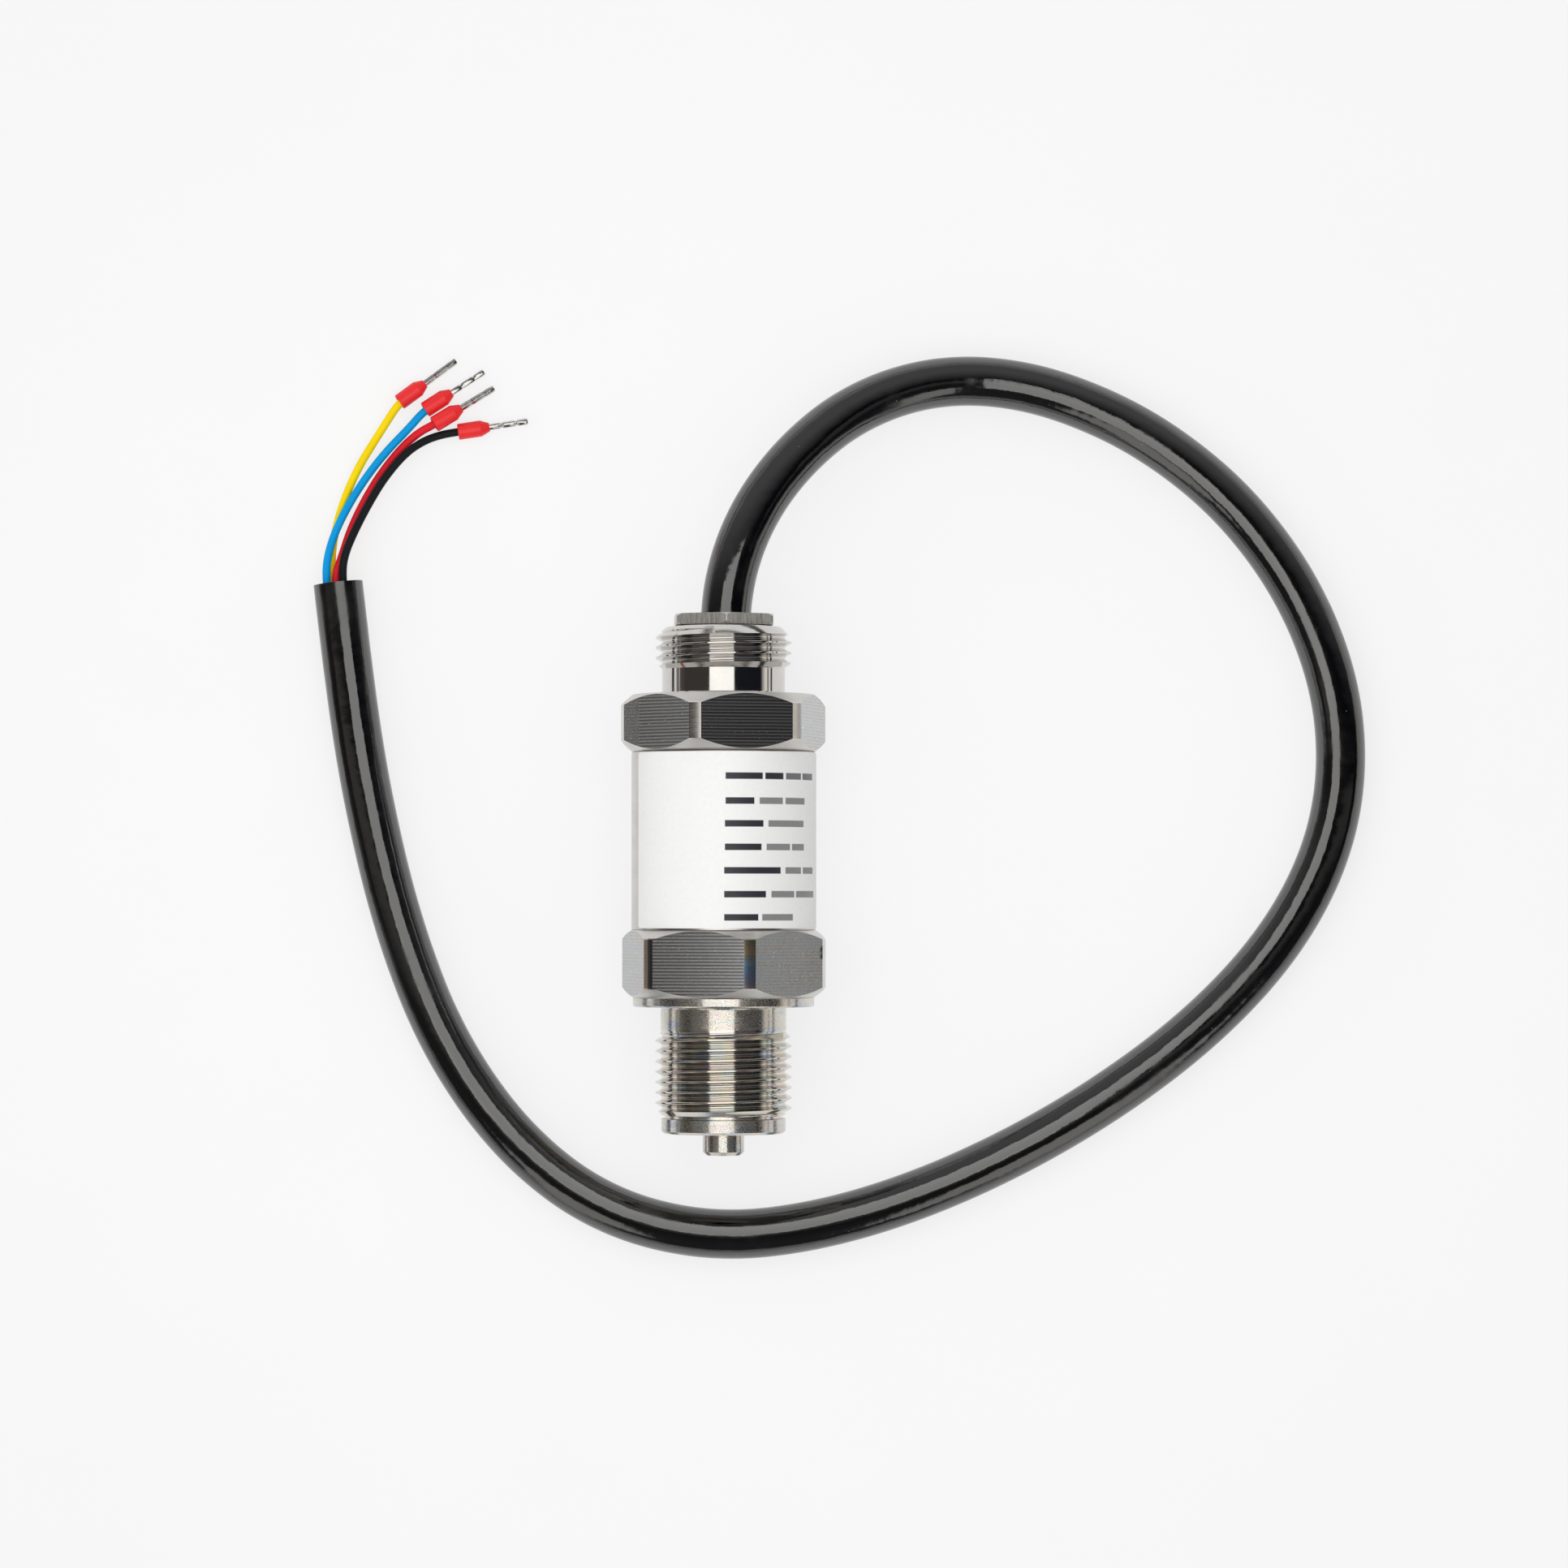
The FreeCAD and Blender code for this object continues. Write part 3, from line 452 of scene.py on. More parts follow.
def tinned_copper():
    """Soft bright tin, dented by the crimping tool."""
    finish = Finish("tinned copper", Metallic=1.0)
    point = finish.place()[0]
    dents = finish.noise(point, 2.4, 3, 0.6)
    tin = tuple(bpy.context.scene.transmitter_colours.tin)
    colour = finish.mix(finish.ramp(dents, 0.35, 0.65), tuple(0.7 * c for c in tin), tin)
    return finish.feed(Base_Color=colour, Roughness=finish.ramp(dents, 0.3, 0.7, 0.08, 0.20),
                       Normal=finish.bump(dents, 0.015))


def label_film():
    """White satin film with rows of plain dark bars and no lettering."""
    finish = Finish("label film", Specular_IOR_Level=0.5)
    point, x, y, z = finish.place()
    arc = x.angle_from(z - AXIS_HEIGHT) * LABEL_RADIUS
    ink = None
    for row, bars in PRINT_ROWS:
        in_row = y.between(row - PRINT_HALF_HEIGHT, row + PRINT_HALF_HEIGHT, 0.1)
        words = None
        for start, end, strength in bars:
            word = arc.between(start, end, 0.1) * strength
            words = word if words is None else words + word
        printed = in_row * words
        ink = printed if ink is None else ink + printed
    paper = finish.noise(point, 1.6, 3)
    colours = bpy.context.scene.transmitter_colours
    film = tuple(colours.film)
    colour = finish.mix(finish.ramp(paper, 0.3, 0.7, 0.0, 0.6), film, tuple(0.95 * c for c in film))
    colour = finish.mix(ink, colour, tuple(colours.print_bars))
    return finish.feed(Base_Color=colour, Roughness=finish.ramp(paper, 0.3, 0.7, 0.38, 0.5),
                       Normal=finish.bump(paper, 0.004))


def jacket_plastic():
    """Glossy black jacket with a slightly uneven skin, faint scuffs and specks of dust."""
    finish = Finish("cable jacket", IOR=1.72, Specular_IOR_Level=0.8)
    point = finish.place()[0]
    skin = finish.noise(point, 0.22, 2)
    fine = finish.noise(point, 2.5, 3, 0.6)
    scuff = finish.noise(point, 0.09, 3, 0.7)
    speck = finish.node("ShaderNodeTexVoronoi", {"feature": "F1"},
                        {"Vector": point, "Scale": 0.42}, output="Distance")
    dust = finish.ramp(speck, 0.035, 0.03) * finish.ramp(scuff, 0.45, 0.5)
    jacket = tuple(bpy.context.scene.transmitter_colours.jacket)
    colour = finish.mix(finish.ramp(scuff, 0.5, 0.7, 0.0, 0.5), jacket, tuple(2.4 * c for c in jacket))
    colour = finish.mix(dust * 0.5, colour, (0.35, 0.34, 0.32))
    rough = finish.ramp(fine, 0.3, 0.7, 0.06, 0.11) + finish.ramp(scuff, 0.52, 0.68, 0.0, 0.14)
    normal = finish.bump(fine, 0.006, finish.bump(skin, 0.10))
    return finish.feed(Base_Color=colour, Roughness=rough, Normal=normal)


def plastic(name, colour, gloss, grain, relief=0.01, spread=0.12, metal=0.0, shine=0.5):
    """A plain moulded, extruded, cast or plated finish whose tone and sheen vary a little."""
    finish = Finish(name, Metallic=metal, Specular_IOR_Level=shine)
    point = finish.place()[0]
    fine = finish.noise(point, grain, 3, 0.6)
    broad = finish.noise(point, grain * 0.2, 2)
    tone = finish.mix(finish.ramp(broad, 0.3, 0.7), tuple((1 - spread) * c for c in colour), colour)
    rough = finish.ramp(fine, 0.3, 0.7, gloss - 0.06, gloss + 0.06)
    return finish.feed(Base_Color=tone, Roughness=rough, Normal=finish.bump(fine, relief))


# ---------------------------------------------------------------- modelling
def clear_selection():
    if bpy.context.object is not None and bpy.context.object.mode != "OBJECT":
        bpy.ops.object.mode_set(mode="OBJECT")
    bpy.ops.object.select_all(action="DESELECT")


def pick(*pieces):
    """Select these pieces alone, the last one active."""
    clear_selection()
    for piece in pieces:
        piece.select_set(True)
    bpy.context.view_layer.objects.active = pieces[-1]
    return pieces[-1]


def push(way):
    """Extrude what is selected along a way in millimetres."""
    value = tuple(part * MM for part in way)
    bpy.ops.mesh.extrude_region_move(TRANSFORM_OT_translate={"value": value})


def profile_line(name, points):
    """A line in the upright plane through the axis, from (place along the axis, radius) points."""
    clear_selection()
    bpy.ops.mesh.primitive_plane_add(size=MM)
    piece = bpy.context.object
    piece.name = name
    bpy.ops.object.mode_set(mode="EDIT")
    bpy.ops.mesh.select_all(action="SELECT")
    bpy.ops.mesh.merge(type="CENTER")
    along, radius = points[0]
    bpy.ops.transform.translate(value=(0, along * MM, (AXIS_HEIGHT + radius) * MM))
    for (y0, r0), (y1, r1) in zip(points, points[1:]):
        push((0, y1 - y0, r1 - r0))
    return piece


def close_up(threshold=1e-6):
    """Merge what lies in one place and point the faces outwards."""
    bpy.ops.object.mode_set(mode="EDIT")
    bpy.ops.mesh.select_all(action="SELECT")
    bpy.ops.mesh.remove_doubles(threshold=threshold)
    bpy.ops.mesh.normals_make_consistent(inside=False)
    bpy.ops.object.mode_set(mode="OBJECT")


def turned_piece(name, profile, steps=SPIN_STEPS):
    """Turn a profile about the transmitter's axis. A profile off the axis is closed on itself."""
    hollow = profile[0][1] > 0
    piece = profile_line(name, profile + profile[:1] if hollow else profile)
    bpy.ops.mesh.select_all(action="SELECT")
    bpy.ops.mesh.spin(steps=steps, angle=2 * math.pi, center=(0, 0, AXIS_HEIGHT * MM), axis=(0, 1, 0),
                      use_auto_merge=True)
    close_up()
    return piece


def shared_volume(piece, cutter):
    """Keep only what lies in both pieces."""
    pick(piece)
    modifier = piece.modifiers.new("Shared volume", "BOOLEAN")
    modifier.operation = "INTERSECT"
    modifier.solver = "EXACT"
    modifier.object = cutter
    bpy.ops.object.modifier_apply(modifier=modifier.name)
    bpy.data.objects.remove(cutter)
    if not piece.data.polygons:
        raise RuntimeError(f"{piece.name} has nothing left after it was cut")
    return piece


def hexagon_piece(name, start, end, chamfer, turn):
    """Hexagon whose corners are turned round and chamfered at both ends."""
    sizes = bpy.context.scene.transmitter_sizes
    corner = sizes.corner_radius / MM
    blank = turned_piece(name + "_blank", [
        (start, 0), (start, HEX_END_RADIUS), (start + chamfer, corner), (end - chamfer, corner),
        (end, HEX_END_RADIUS), (end, 0)], HEX_SPIN_STEPS)
    clear_selection()
    bpy.ops.mesh.primitive_cylinder_add(
        vertices=6, radius=sizes.across_flats / 2 / math.cos(math.radians(30)),
        depth=(end - start + 2) * MM,
        location=(0, (start + end) / 2 * MM, AXIS_HEIGHT * MM),
        rotation=(-math.pi / 2, turn + math.radians(30), 0))
    piece = bpy.context.object
    piece.name = name
    bpy.ops.object.transform_apply(location=True, rotation=True, scale=True)
    return shared_volume(piece, blank)


def threaded_piece(name, envelope, start, end, crest_place):
    """Right-hand thread cut on a turned blank."""
    sizes = bpy.context.scene.transmitter_sizes
    pitch = sizes.thread_pitch / MM
    crest = sizes.thread_radius / MM
    root = crest - THREAD_DEPTH * pitch
    below = crest_place - pitch * (math.ceil((crest_place - start) / pitch) + 1)
    flank = ((0.055, crest), (0.09, crest - 0.05), (0.38, root + 0.05), (0.44, root),
             (0.5, root + 0.02))
    tooth = (*((-share, radius) for share, radius in reversed(flank)), *flank)
    piece = profile_line(name, [(below + share * pitch, radius) for share, radius in tooth])
    bpy.ops.mesh.select_all(action="SELECT")
    bpy.ops.transform.translate(value=(0, 0, -AXIS_HEIGHT * MM))
    bpy.ops.object.mode_set(mode="OBJECT")
    screw = piece.modifiers.new("Thread", "SCREW")
    screw.axis = "Y"
    screw.angle = 2 * math.pi
    screw.screw_offset = pitch * MM
    screw.iterations = math.ceil((end - below) / pitch) + 2
    screw.steps = screw.render_steps = THREAD_STEPS
    screw.use_normal_calculate = True
    bpy.ops.object.modifier_apply(modifier=screw.name)
    bpy.ops.object.mode_set(mode="EDIT")
    bpy.ops.mesh.select_all(action="SELECT")
    bpy.ops.transform.translate(value=(0, 0, AXIS_HEIGHT * MM))
    bpy.ops.mesh.remove_doubles(threshold=2e-6)
    for place, side in ((start - THREAD_SPARE, {"clear_inner": True}),
                        (end + THREAD_SPARE, {"clear_outer": True})):
        bpy.ops.mesh.select_all(action="SELECT")
        bpy.ops.mesh.bisect(plane_co=(0, place * MM, 0), plane_no=(0, 1, 0), use_fill=True,
                            threshold=1e-7, **side)
    close_up()
    return shared_volume(piece, turned_piece(name + "_blank", envelope))


def smooth(piece, degrees):
    """Shade a piece smooth but for edges sharper than an angle."""
    pick(piece)
    bpy.ops.object.shade_smooth_by_angle(angle=math.radians(degrees))


def joined(name, *pieces):
    """One object of several closed pieces, smooth but for its real edges."""
    pick(*pieces)
    bpy.ops.object.join()
    whole = bpy.context.object
    whole.name = name
    whole.data.name = name
    smooth(whole, 18)
    return whole


def paint(piece, *materials):
    """Give a piece its materials, in the order of its slots."""
    piece.data.materials.clear()
    for material in materials:
        piece.data.materials.append(material)
    return piece


def paint_flats(piece):
    """Turned finish all over a hexagon, and the milled one on its six flats."""
    paint(piece, SHARED["turned"], SHARED["milled"])
    for face in piece.data.polygons:
        centre = face.center - Vector((0, 0, AXIS_HEIGHT * MM))
        outward = Vector((centre.x, 0, centre.z))
        if abs(face.normal.y) > 0.01:
            continue
        if face.normal.dot(outward) > FLAT_REACH * MM and face.area > FLAT_AREA * MM * MM:
            face.material_index = 1


def dress(material, *nodes):
    """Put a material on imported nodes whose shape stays."""
    for name in nodes:
        paint(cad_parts[name], material)


SHARED = {}  # finishes that several operators use
# Colour, gloss, grain, relief, spread and metal of each finish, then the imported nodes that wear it.
PLAIN_FINISHES = {
    "sensor steel": ((0.55, 0.54, 0.53), 0.22, 2.0, 0.004, 0.10, 1.0,
                     ("sensor_cell", "sensor_diaphragm", "clamp_ring")),
    "silicon": ((0.10, 0.11, 0.13), 0.15, 3.0, 0.002, 0.20, 0.6, ("sensor_chip",)),
    "seal glass": ((0.05, 0.09, 0.10), 0.12, 2.0, 0.010, 0.30, 0.0, ("pin_glass_seals",)),
    "gold plate": ((0.85, 0.58, 0.22), 0.22, 3.0, 0.004, 0.12, 1.0, ("sensor_pins",)),
    "seal rubber": ((0.015, 0.015, 0.016), 0.62, 2.4, 0.030, 0.30, 0.0,
                    ("sensor_o_ring", "cap_o_ring", "cable_seal_bush")),
    "board laminate": ((0.03, 0.16, 0.07), 0.40, 3.5, 0.010, 0.25, 0.0,
                       ("compensation_board", "signal_board")),
    "holder plastic": ((0.03, 0.03, 0.032), 0.50, 2.0, 0.020, 0.20, 0.0, ("board_holder",)),
    "sleeve film": ((0.62, 0.50, 0.22), 0.30, 0.8, 0.010, 0.15, 0.0, ("insulating_sleeve",)),
    "chip black": ((0.02, 0.02, 0.021), 0.50, 4.0, 0.010, 0.25, 0.0,
                   ("amplifier_chip", "protection_diodes", "loop_transistor")),
    "chip ceramic": ((0.32, 0.24, 0.16), 0.45, 4.0, 0.010, 0.20, 0.0,
                     ("trim_resistors", "board_capacitors")),
    "link insulation": ((0.75, 0.74, 0.70), 0.40, 2.0, 0.006, 0.08, 0.0, ("link_wires",)),
}


class TRANSMITTER_OT_finishes(bpy.types.Operator):
    """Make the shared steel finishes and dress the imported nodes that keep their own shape"""
    bl_idname = "transmitter.finishes"
    bl_label = "Finishes"

    def execute(self, context):
        colours = context.scene.transmitter_colours
        SHARED["turned"] = turned_steel()
        SHARED["milled"] = milled_steel()
        for name, (tone, gloss, grain, relief, spread, metal, nodes) in PLAIN_FINISHES.items():
            dress(plastic(name, tone, gloss, grain, relief, spread, metal), *nodes)
        dress(nickel_plate(), "gland_washer", "gland_nut")
        dress(label_film(), "label")
        for colour in CORES:
            SHARED[colour] = plastic(colour + " insulation", tuple(getattr(colours, colour)),
                                     gloss=0.42, grain=2.2, relief=0.004, spread=0.06, shine=0.12)
            dress(SHARED[colour], "inner_lead_" + colour)
        dress(plastic("ferrule collar", tuple(colours.collar), gloss=0.36, grain=1.8, relief=0.006,
                      spread=0.10, shine=0.4),
              *("ferrule_collar_" + colour for colour in CORES))
        return {"FINISHED"}


class TRANSMITTER_OT_body(bpy.types.Operator):
    """Turn the pressure body: spigot, process thread, flange, lower hexagon and housing tube"""
    bl_idname = "transmitter.body"
    bl_label = "Pressure body"

    def execute(self, context):
        sizes = context.scene.transmitter_sizes
        wall = sizes.housing_radius / MM
        crest = sizes.thread_radius / MM
        bore = PORT_BORE_RADIUS
        nose = turned_piece("nose", [
            (TIP, bore + 0.15), (TIP, 2.5), (TIP + 0.5, 3), (NOSE - 0.12, 3), (NOSE, 3.12), (NOSE, 8.6),
            (NOSE + 0.1, 8.72), (NOSE + 0.35, 9), (GROOVE - 0.06, 9), (GROOVE, 8.94), (GROOVE, 8.55),
            (GROOVE + 0.05, 8.5), (THREAD, 8.5), (THREAD, bore), (TIP + 0.15, bore)])
        thread = threaded_piece("process_thread", [
            (THREAD, bore), (THREAD, crest - 0.95), (THREAD + 1.25, crest + 0.3),
            (UNDERCUT - 1.35, crest + 0.3), (UNDERCUT - 0.25, crest - 0.8), (UNDERCUT, crest - 0.85),
            (UNDERCUT, bore)], THREAD, UNDERCUT, PROCESS_CREST)
        flange = turned_piece("flange", [
            (UNDERCUT, bore), (UNDERCUT, 9.1), (FLANGE - 0.3, 9.1), (FLANGE - 0.1, 9.17),
            (FLANGE, 9.4), (FLANGE, 12.9), (FLANGE + 0.08, 13.05), (FLANGE + 0.25, 13.15),
            (LOWER_HEX - 0.1, 13.15), (LOWER_HEX, 13.08), (LOWER_HEX, bore)])
        hexagon = hexagon_piece("lower_hexagon", LOWER_HEX, HOUSING, 1.42, -sizes.hexagon_turn)
        housing = turned_piece("housing", [
            (HOUSING - 0.02, 11.5), (HOUSING - 0.02, wall), (UPPER_HEX - 0.22, wall),
            (UPPER_HEX - 0.07, wall - 0.06), (UPPER_HEX, wall - 0.22), (UPPER_HEX, 11.9),
            (MOUTH, 11.9), (MOUTH, 11.5)])
        paint_flats(hexagon)
        for piece in (nose, thread, flange, housing):
            paint(piece, SHARED["turned"])
        body = joined("pressure_body_turned", nose, thread, flange, housing, hexagon)
        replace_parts(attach(body, "root"), "pressure_body")
        return {"FINISHED"}


class TRANSMITTER_OT_cap(bpy.types.Operator):
    """Turn the cable cap: upper hexagon, neck and male thread, bored for the gland"""
    bl_idname = "transmitter.cap"
    bl_label = "Cable cap"

    def execute(self, context):
        sizes = context.scene.transmitter_sizes
        crest = sizes.thread_radius / MM
        bore = GLAND_BORE_RADIUS
        hexagon = hexagon_piece("upper_hexagon", UPPER_HEX, NECK, 1.6, sizes.hexagon_turn)
        spigot = turned_piece("cap_spigot", [
            (MOUTH + 0.2, 8.6), (MOUTH + 0.2, 11.6), (MOUTH + 0.45, 11.85), (UPPER_HEX - 2.2, 11.85),
            (UPPER_HEX - 2.2, 10.6), (UPPER_HEX, 10.6), (UPPER_HEX, 8.6)])
        neck = turned_piece("cap_neck", [
            (NECK, bore), (NECK, 9.3), (NECK + 0.1, 9.07), (NECK + 0.3, 8.95), (CAP_THREAD, 8.95),
            (CAP_THREAD, bore)])
        thread = threaded_piece("cap_thread", [
            (CAP_THREAD, bore), (CAP_THREAD, 8.95), (CAP_THREAD + 1.3, crest + 0.3),
            (CAP_END - 1.82, crest + 0.3), (CAP_END - 0.06, 8.55), (CAP_END, 8.45),
            (CAP_END, bore + 0.15), (CAP_END - 0.15, bore)], CAP_THREAD, CAP_END, CAP_CREST)
        paint_flats(hexagon)
        for piece in (spigot, neck, thread):
            paint(piece, SHARED["turned"])
        cap = joined("cable_cap_turned", spigot, neck, thread, hexagon)
        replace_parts(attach(cap, "root"), "cable_cap")
        return {"FINISHED"}


# ---------------------------------------------------------------- cable
def route_curve(name, points, radius=0.0):
    """Open spline whose control points are a route's points, round if it has a radius."""
    curve = bpy.data.curves.new(name, "CURVE")
    curve.dimensions = "3D"
    curve.bevel_depth = radius
    curve.bevel_resolution = 10 if radius > 2 * MM else 5
    curve.use_fill_caps = radius > 0
    spline = curve.splines.new("NURBS")
    spline.points.add(len(points) - 1)
    for control, point in zip(spline.points, points):
        control.co = (*(c * MM for c in point), 1)
    spline.order_u = 3
    spline.use_endpoint_u = True
    curve.resolution_u = 14
    piece = bpy.data.objects.new(name, curve)
    bpy.context.collection.objects.link(piece)
    return piece


def centre_line(points):
    """Points along a route's spline."""
    line = route_curve("centre_line", points)
    bpy.context.view_layer.update()
    mesh = bpy.data.meshes.new_from_object(line.evaluated_get(bpy.context.evaluated_depsgraph_get()))
    path = [tuple(vertex.co) for vertex in mesh.vertices]
    bpy.data.objects.remove(line)
    bpy.data.meshes.remove(mesh)
    return path


class TRANSMITTER_OT_jacket(bpy.types.Operator):
    """Lay the jacketed cable on the floor, hollow at its cut end"""
    bl_idname = "transmitter.jacket"
    bl_label = "Cable jacket"

    def execute(self, context):
        sizes = context.scene.transmitter_sizes
        path = centre_line(JACKET_ROUTE)
        jacket = pick(route_curve("jacket_tube", JACKET_ROUTE, sizes.jacket_diameter / 2))
        bpy.ops.object.convert(target="MESH")
        jacket = bpy.context.object
        close_up(2e-6)
        end = Vector(JACKET_ROUTE[-1]) * MM
        bpy.ops.object.mode_set(mode="EDIT")
        bpy.ops.mesh.select_all(action="DESELECT")
        bpy.ops.object.mode_set(mode="OBJECT")
        for face in jacket.data.polygons:
            near = (face.center - end).length < sizes.jacket_diameter / 2
            face.select = near and abs(face.normal.dot(AHEAD)) > 0.9
        if not any(face.select for face in jacket.data.polygons):
            raise RuntimeError("the jacket has no cut end to hollow out")
        wall = (sizes.jacket_diameter - sizes.recess_diameter) / 2
        bpy.ops.object.mode_set(mode="EDIT")
        bpy.ops.mesh.dissolve_faces()
        edge = 0.12 * MM
        for thickness in (edge, wall - 2 * edge, edge):
            bpy.ops.mesh.inset(thickness=thickness)
        push(AHEAD * -RECESS_DEPTH)
        close_up(1e-7)
        paint(jacket, jacket_plastic())
        smooth(jacket, 35)
        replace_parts(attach(jacket, "root"), "cable_jacket")
        return {"FINISHED"}


class TRANSMITTER_OT_ferrules(bpy.types.Operator):
    """Make one crimped ferrule tube and put a copy on each core"""
    bl_idname = "transmitter.ferrules"
    bl_label = "Ferrule tubes"

    def tube(self, radius):
        """Tube along +Z from its seat to its round open tip, with four crimped flats and two bites."""
        clear_selection()
        bpy.ops.mesh.primitive_circle_add(vertices=4, radius=1.215 * radius, fill_type="NGON",
                                          location=(0, 0, FERRULE_SEAT * MM))
        tube = bpy.context.object
        tube.name = "ferrule_tube"
        bpy.ops.object.transform_apply(location=True)
        bpy.ops.object.mode_set(mode="EDIT")
        bpy.ops.mesh.select_all(action="SELECT")
        bpy.ops.mesh.bevel(offset=0.26 * MM, segments=4, affect="VERTICES")
        bpy.ops.mesh.select_all(action="SELECT")
        across, up = 1.0, 1.0
        for length, new_across, new_up in STRETCHES:
            push((0, 0, length))
            bpy.ops.transform.resize(value=(new_across / across, new_up / up, 1))
            across, up = new_across, new_up
        push((0, 0, 0.15))
        bpy.ops.transform.tosphere(value=1.0)
        push((0, 0, 0.54))
        push((0, 0, TIP_CHAMFER))
        bpy.ops.transform.resize(value=(0.86, 0.86, 1))
        bpy.ops.mesh.inset(thickness=0.08 * MM)
        push((0, 0, -HOLLOW_DEPTH))
        close_up(1e-7)
        # Painted shade: the rim at the tip and the hollow get a dark finish.
        rim = (FERRULE_LENGTH - TIP_CHAMFER) * MM
        for face in tube.data.polygons:
            height = face.center.z
            inward = face.normal.x * face.center.x + face.normal.y * face.center.y < 0
            face.material_index = int(height > rim or (inward and height > DARK_FROM * MM))
        return tube

    def execute(self, context):
        sizes = context.scene.transmitter_sizes
        material = tinned_copper()
        # Painted shade for the tip's rim and its hollow: a dark, partly metallic finish.
        rim = plastic("sheared rim", (0.06, 0.06, 0.06), gloss=0.5, grain=3.0, spread=0.3, metal=0.6)
        first = self.tube(sizes.ferrule_radius)
        for colour, (_, _, back, tip, _) in CORES.items():
            back, tip = Vector(back), Vector(tip)
            tube = first.copy()
            tube.data = first.data.copy()
            tube.name = "crimped_tube_" + colour
            context.collection.objects.link(tube)
            turn = (tip - back).to_track_quat("Z", "Y").to_matrix().to_4x4()
            roll = Matrix.Rotation(math.radians(FERRULE_ROLL[colour]), 4, "Z")
            tube.matrix_world = Matrix.Translation(back * MM) @ turn @ roll
            pick(tube)
            bpy.ops.object.transform_apply(location=True, rotation=True, scale=True)
            paint(tube, material, rim)
            smooth(tube, 25)
            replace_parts(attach(tube, "root"), "ferrule_tube_" + colour)
        bpy.data.objects.remove(first)
        return {"FINISHED"}


class TRANSMITTER_OT_cores(bpy.types.Operator):
    """Lead the four insulated cores from the jacket's end to their ferrules"""
    bl_idname = "transmitter.cores"
    bl_label = "Cores"

    def execute(self, context):
        sizes = context.scene.transmitter_sizes
        for colour, (start, between, back, tip, length) in CORES.items():
            sideways, upwards = start
            first = RECESS_FLOOR + SIDE * sideways + Vector((0, 0, upwards))
            back, tip = Vector(back), Vector(tip)
            inside = back + (tip - back).normalized() * CORE_IN_COLLAR
            core = route_curve("core_line_" + colour,
                               [first, first + AHEAD * 3.0, *between, back, inside],
                               sizes.core_diameter / 2)
            paint(core, SHARED[colour])
            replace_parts(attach(core, "root"), "core_" + colour)
        return {"FINISHED"}


# ---------------------------------------------------------------- stage
LAMP_PLACE = (-0.0095, 0.016)
CAMERA_PLACE = (8.775 * MM, -2.12 * MM)
CAMERA_TILT = math.radians(1.31)


def background_rays(finish, near):
    """1 for rays that show the background: the camera's, and glossy and clear ones where near is 1."""
    camera, glossy, clear = (finish.node("ShaderNodeLightPath", output=name) for name in (
        "Is Camera Ray", "Is Glossy Ray", "Is Transmission Ray"))
    return camera.larger(glossy.larger(clear) * near)


def floor_material():
    """Pale floor that shows white round the object and keeps its soft shadow."""
    finish = Finish("pale floor", Roughness=0.6, Specular_IOR_Level=0.2)
    point, x, y, _ = finish.place()
    grain = finish.noise(point, 0.05, 2)
    finish.feed(Base_Color=finish.mix(grain, (0.86, 0.86, 0.87), (0.9, 0.9, 0.9)))
    near = finish.ramp((x * x + y * y) ** 0.5, 330.0, 260.0) * finish.ramp(x, -160.0, -125.0)
    shade = finish.mix(background_rays(finish, near), (0.08, 0.07, 0.06), (1.0, 1.0, 1.0))
    glow = finish.node("ShaderNodeEmission", values={"Color": shade, "Strength": 0.975})
    shown = finish.node("ShaderNodeMixShader", values={
        0: background_rays(finish, 1.0) * 0.76, 1: Level(finish, finish.shader.outputs[0]), 2: glow})
    finish.tree.links.new(shown.socket, finish.tree.nodes["Material Output"].inputs["Surface"])
    return finish.owner


def studio_world():
    """Dark studio above a lit table: paler towards the ends of the part and low down on the right."""
    finish = Finish("studio", world=True)
    ray = finish.node("ShaderNodeTexCoord", output="Generated")
    side, along, height = finish.parts(ray)
    upper = finish.mix(finish.ramp(side, -0.6, 0.4), (0.055, 0.050, 0.046), (0.010, 0.012, 0.016))
    grey = finish.mix(finish.ramp(side, -0.3, 0.3), (0.24, 0.23, 0.22), (0.16, 0.15, 0.145))
    beside = finish.ramp(along, 0.0, -0.06) * finish.ramp(along, -0.30, -0.14)
    beside = beside * finish.ramp(abs(side), 0.90, 0.84)
    upper = finish.mix(beside, upper, grey)
    upper = finish.mix(finish.ramp(along, 0.12, 0.7), upper, (0.38, 0.38, 0.39))
    upper = finish.mix(finish.ramp(along, -0.12, -0.8), upper, (0.07, 0.07, 0.075))
    windows = along.between(-0.84, -0.58, 0.05) * abs(side).between(0.27, 0.60, 0.05)
    upper = finish.mix(windows, upper, (1.05, 1.03, 0.98))
    lower = finish.mix(finish.ramp(side, -0.6, 0.75), (0.10, 0.088, 0.075), (0.92, 0.88, 0.80))
    lower = finish.mix(finish.ramp(abs(along), 0.15, 0.7), lower, (0.72, 0.71, 0.69))
    dark = finish.mix(finish.ramp(height, 0.08, 0.26), lower, upper)
    white = background_rays(finish, finish.ramp(height, 0.02, 0.0))
    colour = finish.mix(white, dark, (0.95, 0.95, 0.955))
    fill = finish.mix(finish.ramp(side, -0.9, 0.9), (1.0, 1.0, 1.0), (0.58, 0.58, 0.585))
    colour = finish.mix(finish.node("ShaderNodeLightPath", output="Is Diffuse Ray"), colour, fill)
    finish.tree.links.new(colour.socket, finish.shader.inputs["Color"])
    finish.constant("Strength", 1.0)
    return finish.owner


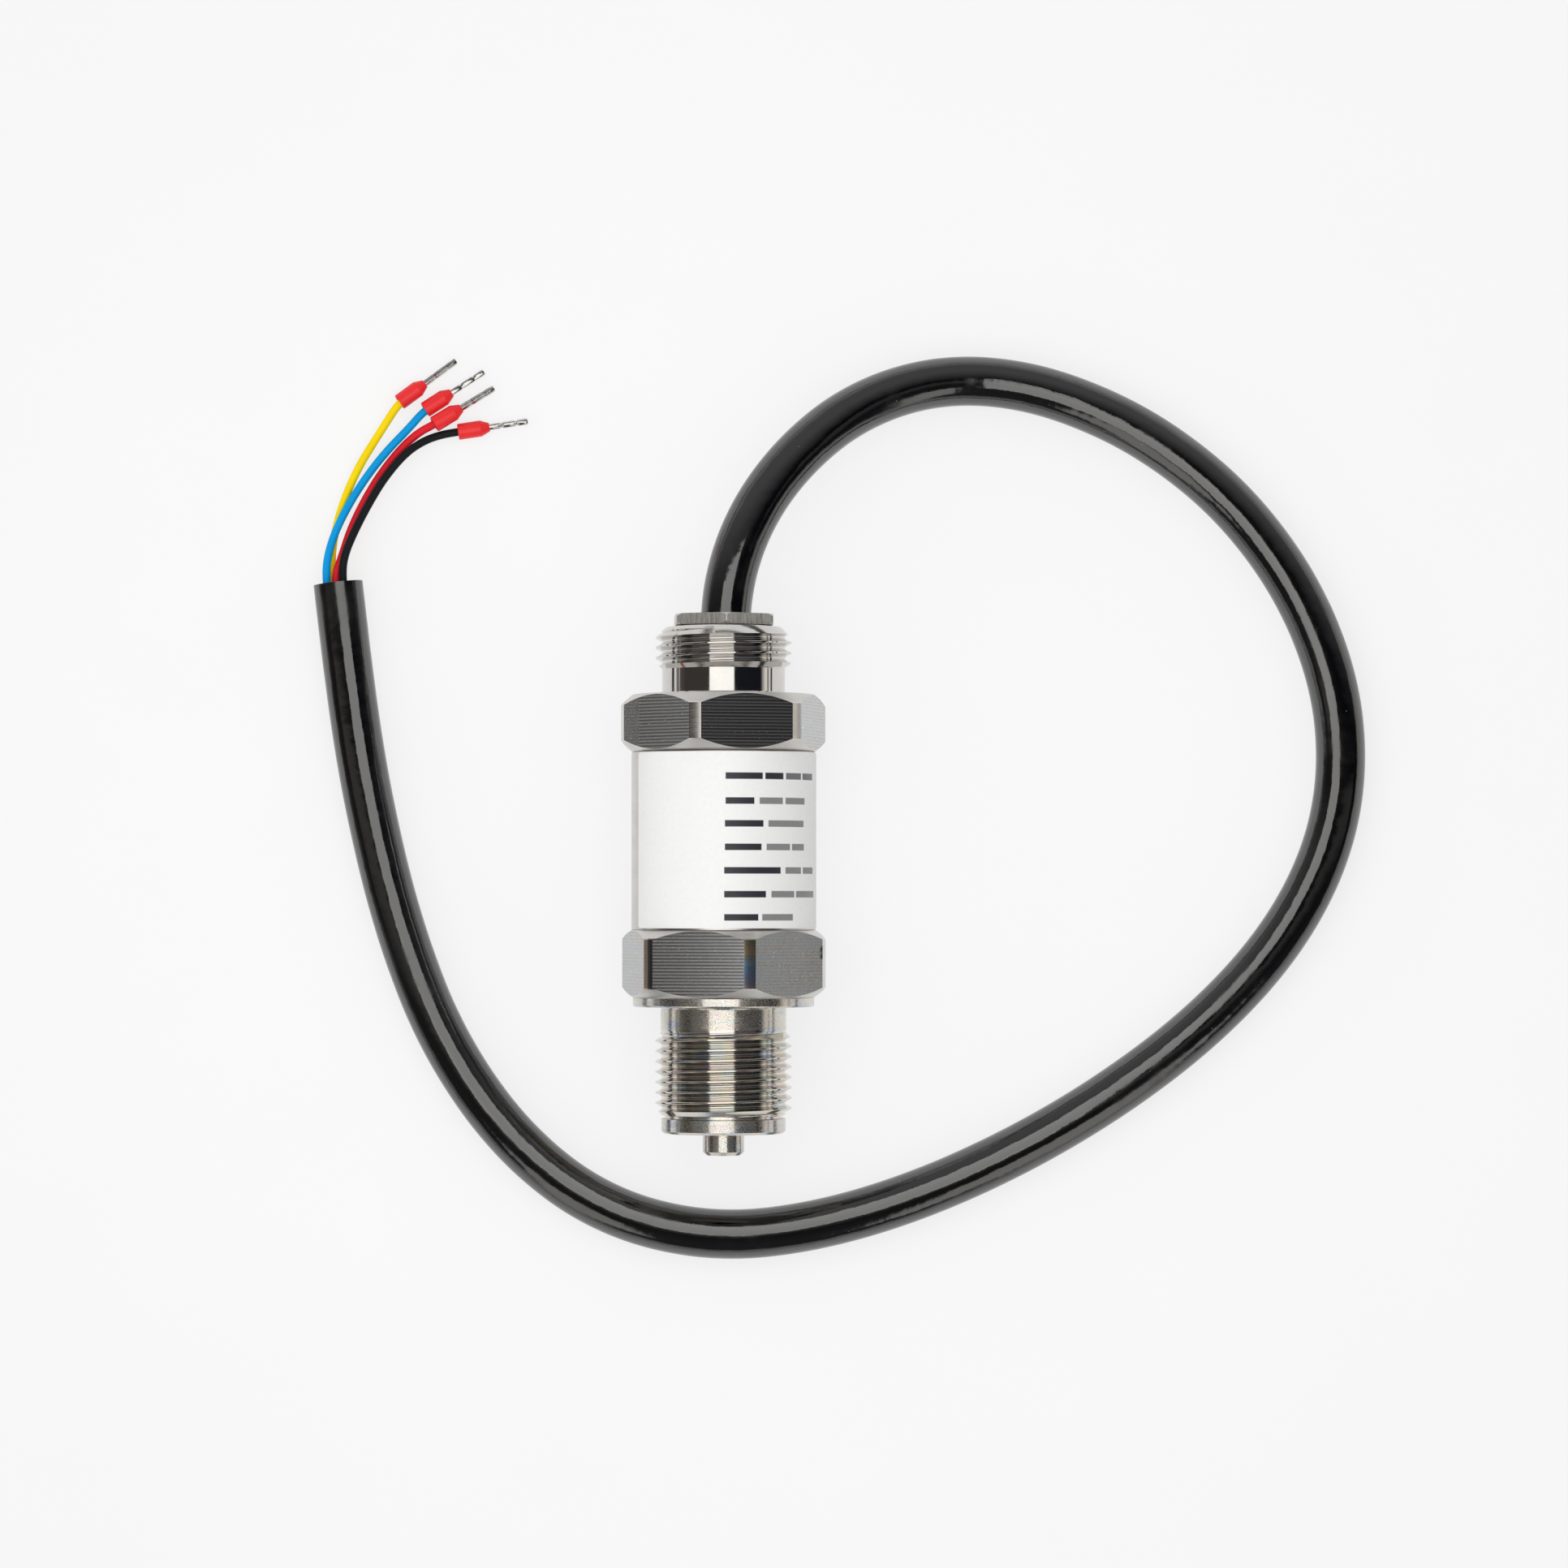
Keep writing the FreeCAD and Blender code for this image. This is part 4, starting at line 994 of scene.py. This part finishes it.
class TRANSMITTER_OT_stage(bpy.types.Operator):
    """Add the floor, the soft overhead lamp, the world and the camera"""
    bl_idname = "transmitter.stage"
    bl_label = "Stage"

    def execute(self, context):
        settings = context.scene.transmitter_stage
        clear_selection()
        bpy.ops.mesh.primitive_plane_add(size=settings.floor_size, location=(0, 0, 0))
        floor = context.object
        floor.name = "floor"
        paint(floor, floor_material())

        bpy.ops.object.light_add(type="AREA", location=(*LAMP_PLACE, settings.overhead_height))
        lamp = context.object
        lamp.name = "overhead_lamp"
        lamp.data.shape = "RECTANGLE"
        lamp.data.size = settings.overhead_width
        lamp.data.size_y = settings.overhead_length
        lamp.data.energy = settings.overhead_power
        lamp.data.color = (1.0, 0.99, 0.97)
        lamp.visible_camera = False
        context.scene.world = studio_world()

        camera = bpy.data.objects.new("camera", bpy.data.cameras.new("camera"))
        context.collection.objects.link(camera)
        camera.data.sensor_width = 36
        camera.data.lens = settings.lens
        camera.data.clip_start = 0.01
        camera.location = (*CAMERA_PLACE, settings.camera_height)
        camera.rotation_euler = (CAMERA_TILT, 0, 0)
        context.scene.camera = camera
        context.scene.view_settings.view_transform = "Standard"
        return {"FINISHED"}


OPERATORS = (TRANSMITTER_OT_finishes, TRANSMITTER_OT_stage, TRANSMITTER_OT_jacket,
             TRANSMITTER_OT_ferrules, TRANSMITTER_OT_cores, TRANSMITTER_OT_body, TRANSMITTER_OT_cap)


class TRANSMITTER_PT_panel(bpy.types.Panel):
    """Pieces of the pressure transmitter"""
    bl_label = "Pressure transmitter"
    bl_space_type = "VIEW_3D"
    bl_region_type = "UI"
    bl_category = "Transmitter"

    def draw(self, context):
        for operator in OPERATORS:
            self.layout.operator(operator.bl_idname)
        for settings in (context.scene.transmitter_sizes, context.scene.transmitter_colours,
                         context.scene.transmitter_stage):
            box = self.layout.box()
            for name in settings.bl_rna.properties.keys():
                if name not in ("rna_type", "name"):
                    box.prop(settings, name)


CLASSES = (TransmitterSizes, TransmitterColours, StageSettings, *OPERATORS, TRANSMITTER_PT_panel)


def register():
    for item in CLASSES:
        bpy.utils.register_class(item)
    bpy.types.Scene.transmitter_sizes = bpy.props.PointerProperty(type=TransmitterSizes)
    bpy.types.Scene.transmitter_colours = bpy.props.PointerProperty(type=TransmitterColours)
    bpy.types.Scene.transmitter_stage = bpy.props.PointerProperty(type=StageSettings)


def unregister():
    del bpy.types.Scene.transmitter_sizes
    del bpy.types.Scene.transmitter_colours
    del bpy.types.Scene.transmitter_stage
    for item in reversed(CLASSES):
        bpy.utils.unregister_class(item)


def main():
    register()
    for operator in OPERATORS:
        group, name = operator.bl_idname.split(".")
        getattr(getattr(bpy.ops, group), name)()
    clear_selection()


if __name__ == "__main__":
    main()
